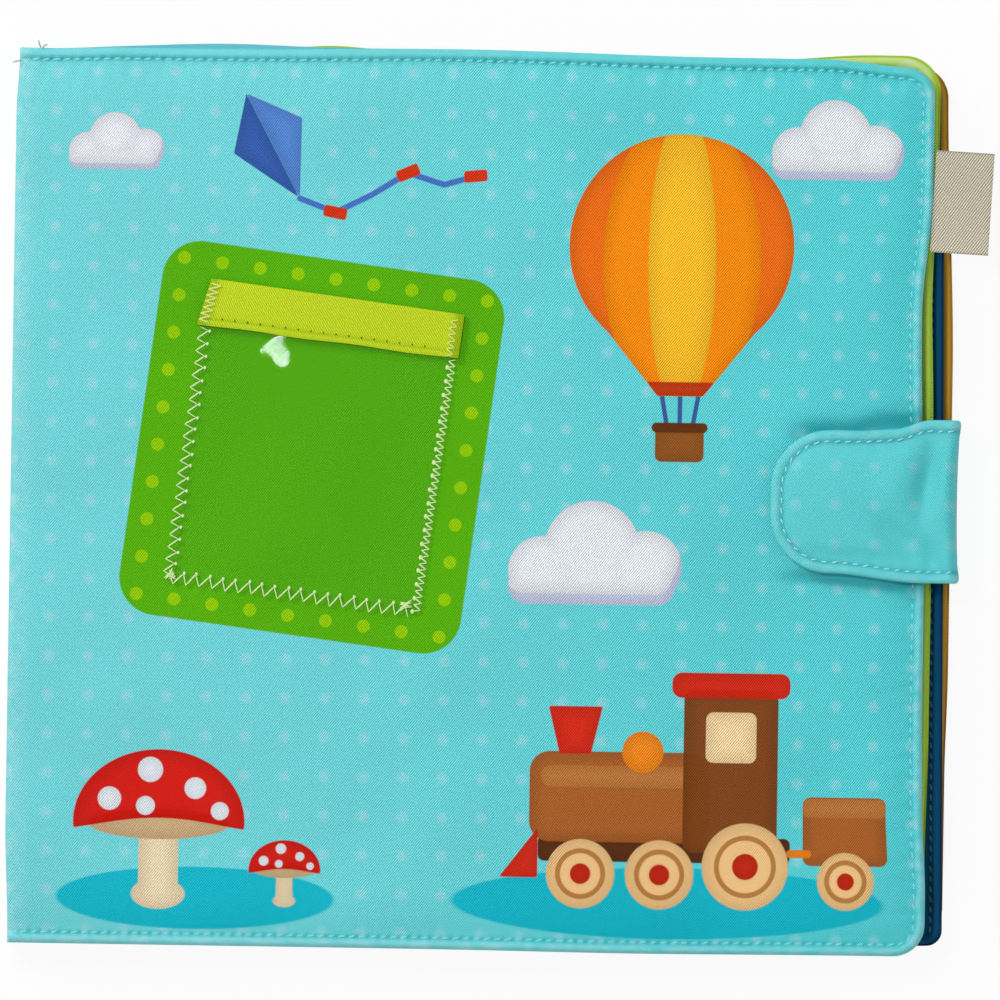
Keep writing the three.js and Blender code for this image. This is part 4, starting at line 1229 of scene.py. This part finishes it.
def strap(name, path, last_flat, *nodes):
    """The tab as a closed strap along a path of (x, z, normal x, normal z)."""
    path = np.array(path)
    walk = np.concatenate([[0], np.cumsum(np.hypot(np.diff(path[:, 0]), np.diff(path[:, 1])))])
    shares = ladder(2 * TAB_HALF_WIDTH, 0.6) / TAB_HALF_WIDTH - 1
    rounded = path[-1, 3] == 1
    upper, lower, flats, insets = [], [], [], []
    for (x, z, nx, nz), along in zip(path, walk):
        on_cover = rounded and nz == 1
        top, bottom = tab_sides(x if on_cover else TAB_FACE)
        trim = 0
        if on_cover and x < TAB_TIP + TAB_RADIUS:
            trim = TAB_RADIUS - math.sqrt(max(TAB_RADIUS ** 2 - (TAB_TIP + TAB_RADIUS - x) ** 2, 0))
        y = (top + bottom) / 2 + shares * ((top - bottom) / 2 - trim)
        inset = tab_inset(np.full_like(y, x), y) if on_cover else np.minimum(top - y, y - bottom)
        folded = 0.86 * abs(nx) * np.sqrt(np.clip(inset / 1.2, 0, 1))
        lift = np.maximum(tab_lift(inset, along + 0 * y), folded)
        lift[0], lift[-1] = 0, 0
        if rounded and x <= TAB_TIP:
            lift[:] = 0
        pull = tab_pull(x, y, z)
        shape = tab_shape(x + 0 * y, y) if on_cover else 0 * y
        for rows, sign in ((upper, 1), (lower, -1)):
            rows.append(np.stack([x - pull + sign * nx * lift, y, z + shape + sign * nz * lift], -1))
        flats.append(np.stack([last_flat - along + 0 * y, y - MIDDLE - TAB_DOT_SHIFT[1], 0 * y], -1))
        insets.append(inset)
    # Painted shade in the stitch groove, and a painted highlight along the rim
    inset = np.tile(np.array(insets).ravel(), 2)
    layers = {"flat": np.concatenate([np.array(flats).reshape(-1, 3)] * 2),
              "seam": 0.7 * bump(inset, STITCH_INSET, 0.5), "painted_highlight": 0.45 * bump(inset, 1.1, 0.9)}
    piece = make_piece(name, slab(np.array(upper), np.array(lower)), tab_cloth, None, "cover_cloth",
                       *nodes, layers=layers)
    return piece


TAB_CENTRE = TAB_FACE - TAB_HALF
tip_steps = TAB_TIP + np.array([1.8, 1.4, 1.05, 0.75, 0.5, 0.3, 0.15, 0.05, 0])
run = np.concatenate([np.linspace(TAB_CENTRE - TAB_BEND, TAB_TIP + 2.2, 100)[1:], tip_steps])
upper_path = [(TAB_CENTRE, z, 1, 0) for z in np.linspace(TAB_SPLIT, TAB_LEVEL - TAB_BEND, 18)[:-1]]
upper_path += bend(TAB_CENTRE - TAB_BEND, TAB_LEVEL - TAB_BEND, 0, math.pi / 2)[:-1]
upper_path += [(x, TAB_LEVEL, 0, 1) for x in np.concatenate([[TAB_CENTRE - TAB_BEND], run])]
ROOT_START, ROOT_END = box("tab_root")[0][0] - 0.6, TAB_CENTRE - TAB_BEND
lower_path = [(x, BACK_SEAM, 0, -1) for x in np.linspace(ROOT_START, ROOT_END, 10)]
lower_path += bend(TAB_CENTRE - TAB_BEND, BACK_SEAM + TAB_BEND, -math.pi / 2, 0)[1:]
lower_path += [(TAB_CENTRE, z, 1, 0) for z in np.linspace(BACK_SEAM + TAB_BEND, TAB_SPLIT, 16)[1:]]
UPPER_LENGTH = TAB_LEVEL - TAB_BEND - TAB_SPLIT + TAB_BEND * math.pi / 2 + TAB_CENTRE - TAB_BEND - TAB_TIP
LOWER_LENGTH = TAB_SPLIT - BACK_SEAM - TAB_BEND + TAB_BEND * math.pi / 2 + ROOT_END - ROOT_START
split_flat = TAB_TIP - SPINE + TAB_DOT_SHIFT[0] + UPPER_LENGTH

tab_top = strap("tab_upper_strap", upper_path, split_flat, "tab_end_cloth", "tab_end_lining",
                "tab_wrap_cloth")
fold(tab_top, "tab_wrap", "tab_end", (TAB_FACE - 0.1, TAB_LEVEL - 1.3), (TAB_FACE - 1.9, TAB_LEVEL + 0.5))
tab_bottom = strap("tab_lower_strap", lower_path, split_flat + LOWER_LENGTH, "tab_root", "tab_wrap_lining")
fold(tab_bottom, "back_cover", "tab_wrap", (TAB_FACE - 1.5, BACK_SEAM), (TAB_FACE + 0.1, BACK_SEAM + 1.6))


def tab_seam():
    """The stitch line on the tab's face, from the fold round its end and back."""
    inner = TAB_RADIUS - STITCH_INSET
    xs = np.linspace(TAB_FACE - 1.0, TAB_TIP + TAB_RADIUS, 200)
    turn = np.linspace(0, math.pi / 2, 50)[1:]
    halves = []
    for side, sign in ((0, 1), (1, -1)):
        edge = tab_sides(xs)[side] - sign * STITCH_INSET
        centre = edge[-1] - sign * inner
        x = np.concatenate([xs, TAB_TIP + TAB_RADIUS - inner * np.sin(turn)])
        halves.append((x, np.concatenate([edge, centre + sign * inner * np.cos(turn)])))
    (top_x, top_y), (low_x, low_y) = halves
    return np.concatenate([top_x, low_x[::-1]]), np.concatenate([top_y, low_y[::-1]])


def tab_level(x, y):
    """Height of the tab's face, which rounds over at the fold."""
    lift = tab_lift(tab_inset(x, y), 0 * x)
    over = np.clip(x - TAB_CENTRE + TAB_BEND, 0, 2.4)
    drop = TAB_BEND + lift - np.sqrt((TAB_BEND + lift) ** 2 - over ** 2)
    return TAB_LEVEL + tab_shape(x, y) + lift - drop


def pulled(strands):
    strands[..., 0] -= tab_pull(strands[..., 0], strands[..., 1], strands[..., 2])
    return strands


make_piece("tab_topstitch", stitches(tab_seam(), STITCH_PITCH, tab_level, 1, pulled, long=1.3, radius=0.19),
           tab_thread, "tab_end", "cover_cloth")


def tape_patch(name, node, body, material, sign):
    """A patch of hook or loop tape with rounded corners. Sign is 1 where its pile looks up."""
    low, high = box(node)
    middle, half, radius = (low + high) / 2, (high - low) / 2, 3.0
    quarters = ((1, 1, 0), (-1, 1, 90), (-1, -1, 180), (1, -1, 270))
    corners = [(qx, qy, math.radians(start + 15 * k)) for qx, qy, start in quarters for k in range(7)]
    around = np.array([(qx * (half[0] - radius) + radius * math.cos(a),
                        qy * (half[1] - radius) + radius * math.sin(a)) for qx, qy, a in corners])
    sides = len(around)
    base, face = (low[2], high[2]) if sign > 0 else (high[2], low[2])
    rings = [(1.0, base), (1.0, base + sign * 0.3), (0.985, face - sign * 0.12)]
    rings += [(share, face) for share in (0.95, 0.8, 0.55, 0.3, 0.08)]
    points = []
    for n, (share, z) in enumerate(rings):
        ripple = 0.06 * np.sin(np.arange(sides) * 2.1 + n) if n > 2 else np.zeros(sides)
        points.append(np.concatenate([middle[:2] + around * share, (z + sign * ripple)[:, None]], 1))
    make_piece(name, (np.concatenate(points), ring_faces(len(rings), sides)), material, body,
               "hook_and_loop", node)


tape_patch("cover_loop_pad", "cover_loop_patch", "front_cover", loop_tape, 1)
tape_patch("tab_hook_pad", "tab_hook_patch", "tab_end", hook_tape, -1)


# Side label and loose ends

def side_label():
    """A woven tape folded double, whose fold stands out past the fore-edge."""
    tilt, reach, height, tape = math.radians(-2.9), 12.9, 22.6, 0.28
    middle = np.mean(box("side_label"), axis=0)
    y, x = np.meshgrid(np.linspace(-height / 2, height / 2, 40), np.linspace(-reach / 2, reach / 2, 30),
                       indexing="ij")
    curl = 0.5 * np.clip((x + reach / 2) / reach, 0, 1) ** 2 + 0.12 * np.sin(y / 4.0)
    opening = 0.12 + 0.2 * np.clip(1 - ((x - 1) / (reach / 2)) ** 2, 0, 1)
    opening[:, -1] = 0.02
    c, s = math.cos(tilt), math.sin(tilt)
    flat = np.stack([middle[0] + x * c - y * s, middle[1] + x * s + y * c], -1)
    faces = [np.concatenate([flat, (middle[2] + curl + sign * (opening + tape))[..., None]], -1)
             for sign in (1, -1)]
    place_on_tape = np.tile(np.stack([x, y, 0 * x], -1).reshape(-1, 3), (2, 1))
    piece = make_piece("side_label_fold", slab(*faces), label_cloth, "front_cover", "label_tape",
                       "side_label", layers={"flat": place_on_tape})


def loose_ends():
    """Cut ends of thread at the cover's upper corner by the spine."""
    routes = [[(5.4, 98.8), (5.0, 99.5), (4.7, 100.2), (4.8, 100.7)],
              [(5.6, 98.8), (5.8, 99.2), (6.2, 99.6), (6.7, 99.7)],
              [(1.2, 96.1), (0.4, 96.0), (-0.5, 95.8), (-0.9, 95.6)]]
    share, fine = np.linspace(0, 1, 4), np.linspace(0, 1, 12)
    strands = []
    for route in routes:
        reach, rise = np.array(route).T
        x, y = np.interp(fine, share, reach), np.interp(fine, share, rise)
        strands.append(np.stack([SPINE + x, MIDDLE + y, FRONT_SEAM + 1.2 + 0.5 * np.sin(2 * fine)], -1))
    make_piece("cover_thread_ends", threads(np.array(strands), 0.14), loose_thread, "front_cover",
               "cover_cloth")


side_label()
loose_ends()


# Floor, light and camera

WHITE = (1, 1, 1, 1)


def seen_directly(nodes):
    """1 for rays that see a surface, straight or by way of shine or glass, and 0 for its light."""
    path = nodes.add("ShaderNodeLightPath").outputs
    seen = nodes.math("MAXIMUM", path["Is Camera Ray"], path["Is Glossy Ray"])
    seen = nodes.math("MAXIMUM", seen, path["Is Transmission Ray"])
    return nodes.math("SUBTRACT", seen, path["Diffuse Depth"], clamp=True)


def floor(size, white_share):
    """A pale floor that reads as white and keeps a faint shadow."""
    mesh = bpy.data.meshes.new("floor")
    corners = [(-size, -size, 0), (size, -size, 0), (size, size, 0), (-size, size, 0)]
    mesh.from_pydata(corners, [], [(0, 1, 2, 3)])
    nodes = material_nodes("floor")
    nodes.set(Base_Color=(0.92, 0.92, 0.92, 1), Roughness=0.8)
    share = nodes.math("MULTIPLY", seen_directly(nodes), white_share)
    mesh.materials.append(nodes.show(share, nodes.shader, nodes.add("ShaderNodeEmission", WHITE, 1.0)))
    add_object("floor", mesh)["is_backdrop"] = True


def sky(strength):
    """Even light from all round, with a white background where it is seen."""
    world = bpy.data.worlds.new("studio")
    bpy.context.scene.world = world
    nodes = Nodes(world)
    light = nodes.fill(nodes.tree.nodes["Background"], (0, 1), (WHITE, strength))
    nodes.show(seen_directly(nodes), light, nodes.add("ShaderNodeBackground", WHITE, 1.0))


def lamp(name, place, size, power):
    """A round lamp, in metres and watts, that looks at the album."""
    light = bpy.data.lights.new(name, "AREA")
    light.shape, light.size, light.energy = "DISK", size, power
    holder = add_object(name, light)
    holder.location = place
    holder.rotation_euler = (Vector((0, 0, 0.02)) - Vector(place)).to_track_quat("-Z", "Y").to_euler()


def photo_camera():
    """A long lens straight above the album, turned as the photograph is."""
    width, turn, lens, sensor = 221.5, 0.9, 1000, 36
    from_spine, above_middle = 108.47, 0.38
    camera = bpy.data.cameras.new("camera")
    camera.lens, camera.sensor_width = lens, sensor
    camera.clip_start, camera.clip_end = 0.1, 100
    eye = add_object("camera", camera)
    distance = width * MM * lens / sensor
    eye.location = ((SPINE + from_spine) * MM, (MIDDLE + above_middle) * MM, COVER_HIGH[2] * MM + distance)
    eye.rotation_euler = (0, 0, math.radians(turn))
    bpy.context.scene.camera = eye


floor(size=1.5, white_share=0.93)
sky(strength=0.46)
lamp("overhead", (-0.20, 0.24, 1.45), size=0.15, power=6.6)
lamp("side", (-1.0, 1.0, 0.95), size=0.5, power=10.5)
photo_camera()
bpy.context.scene.view_settings.view_transform = "Standard"

low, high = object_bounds()
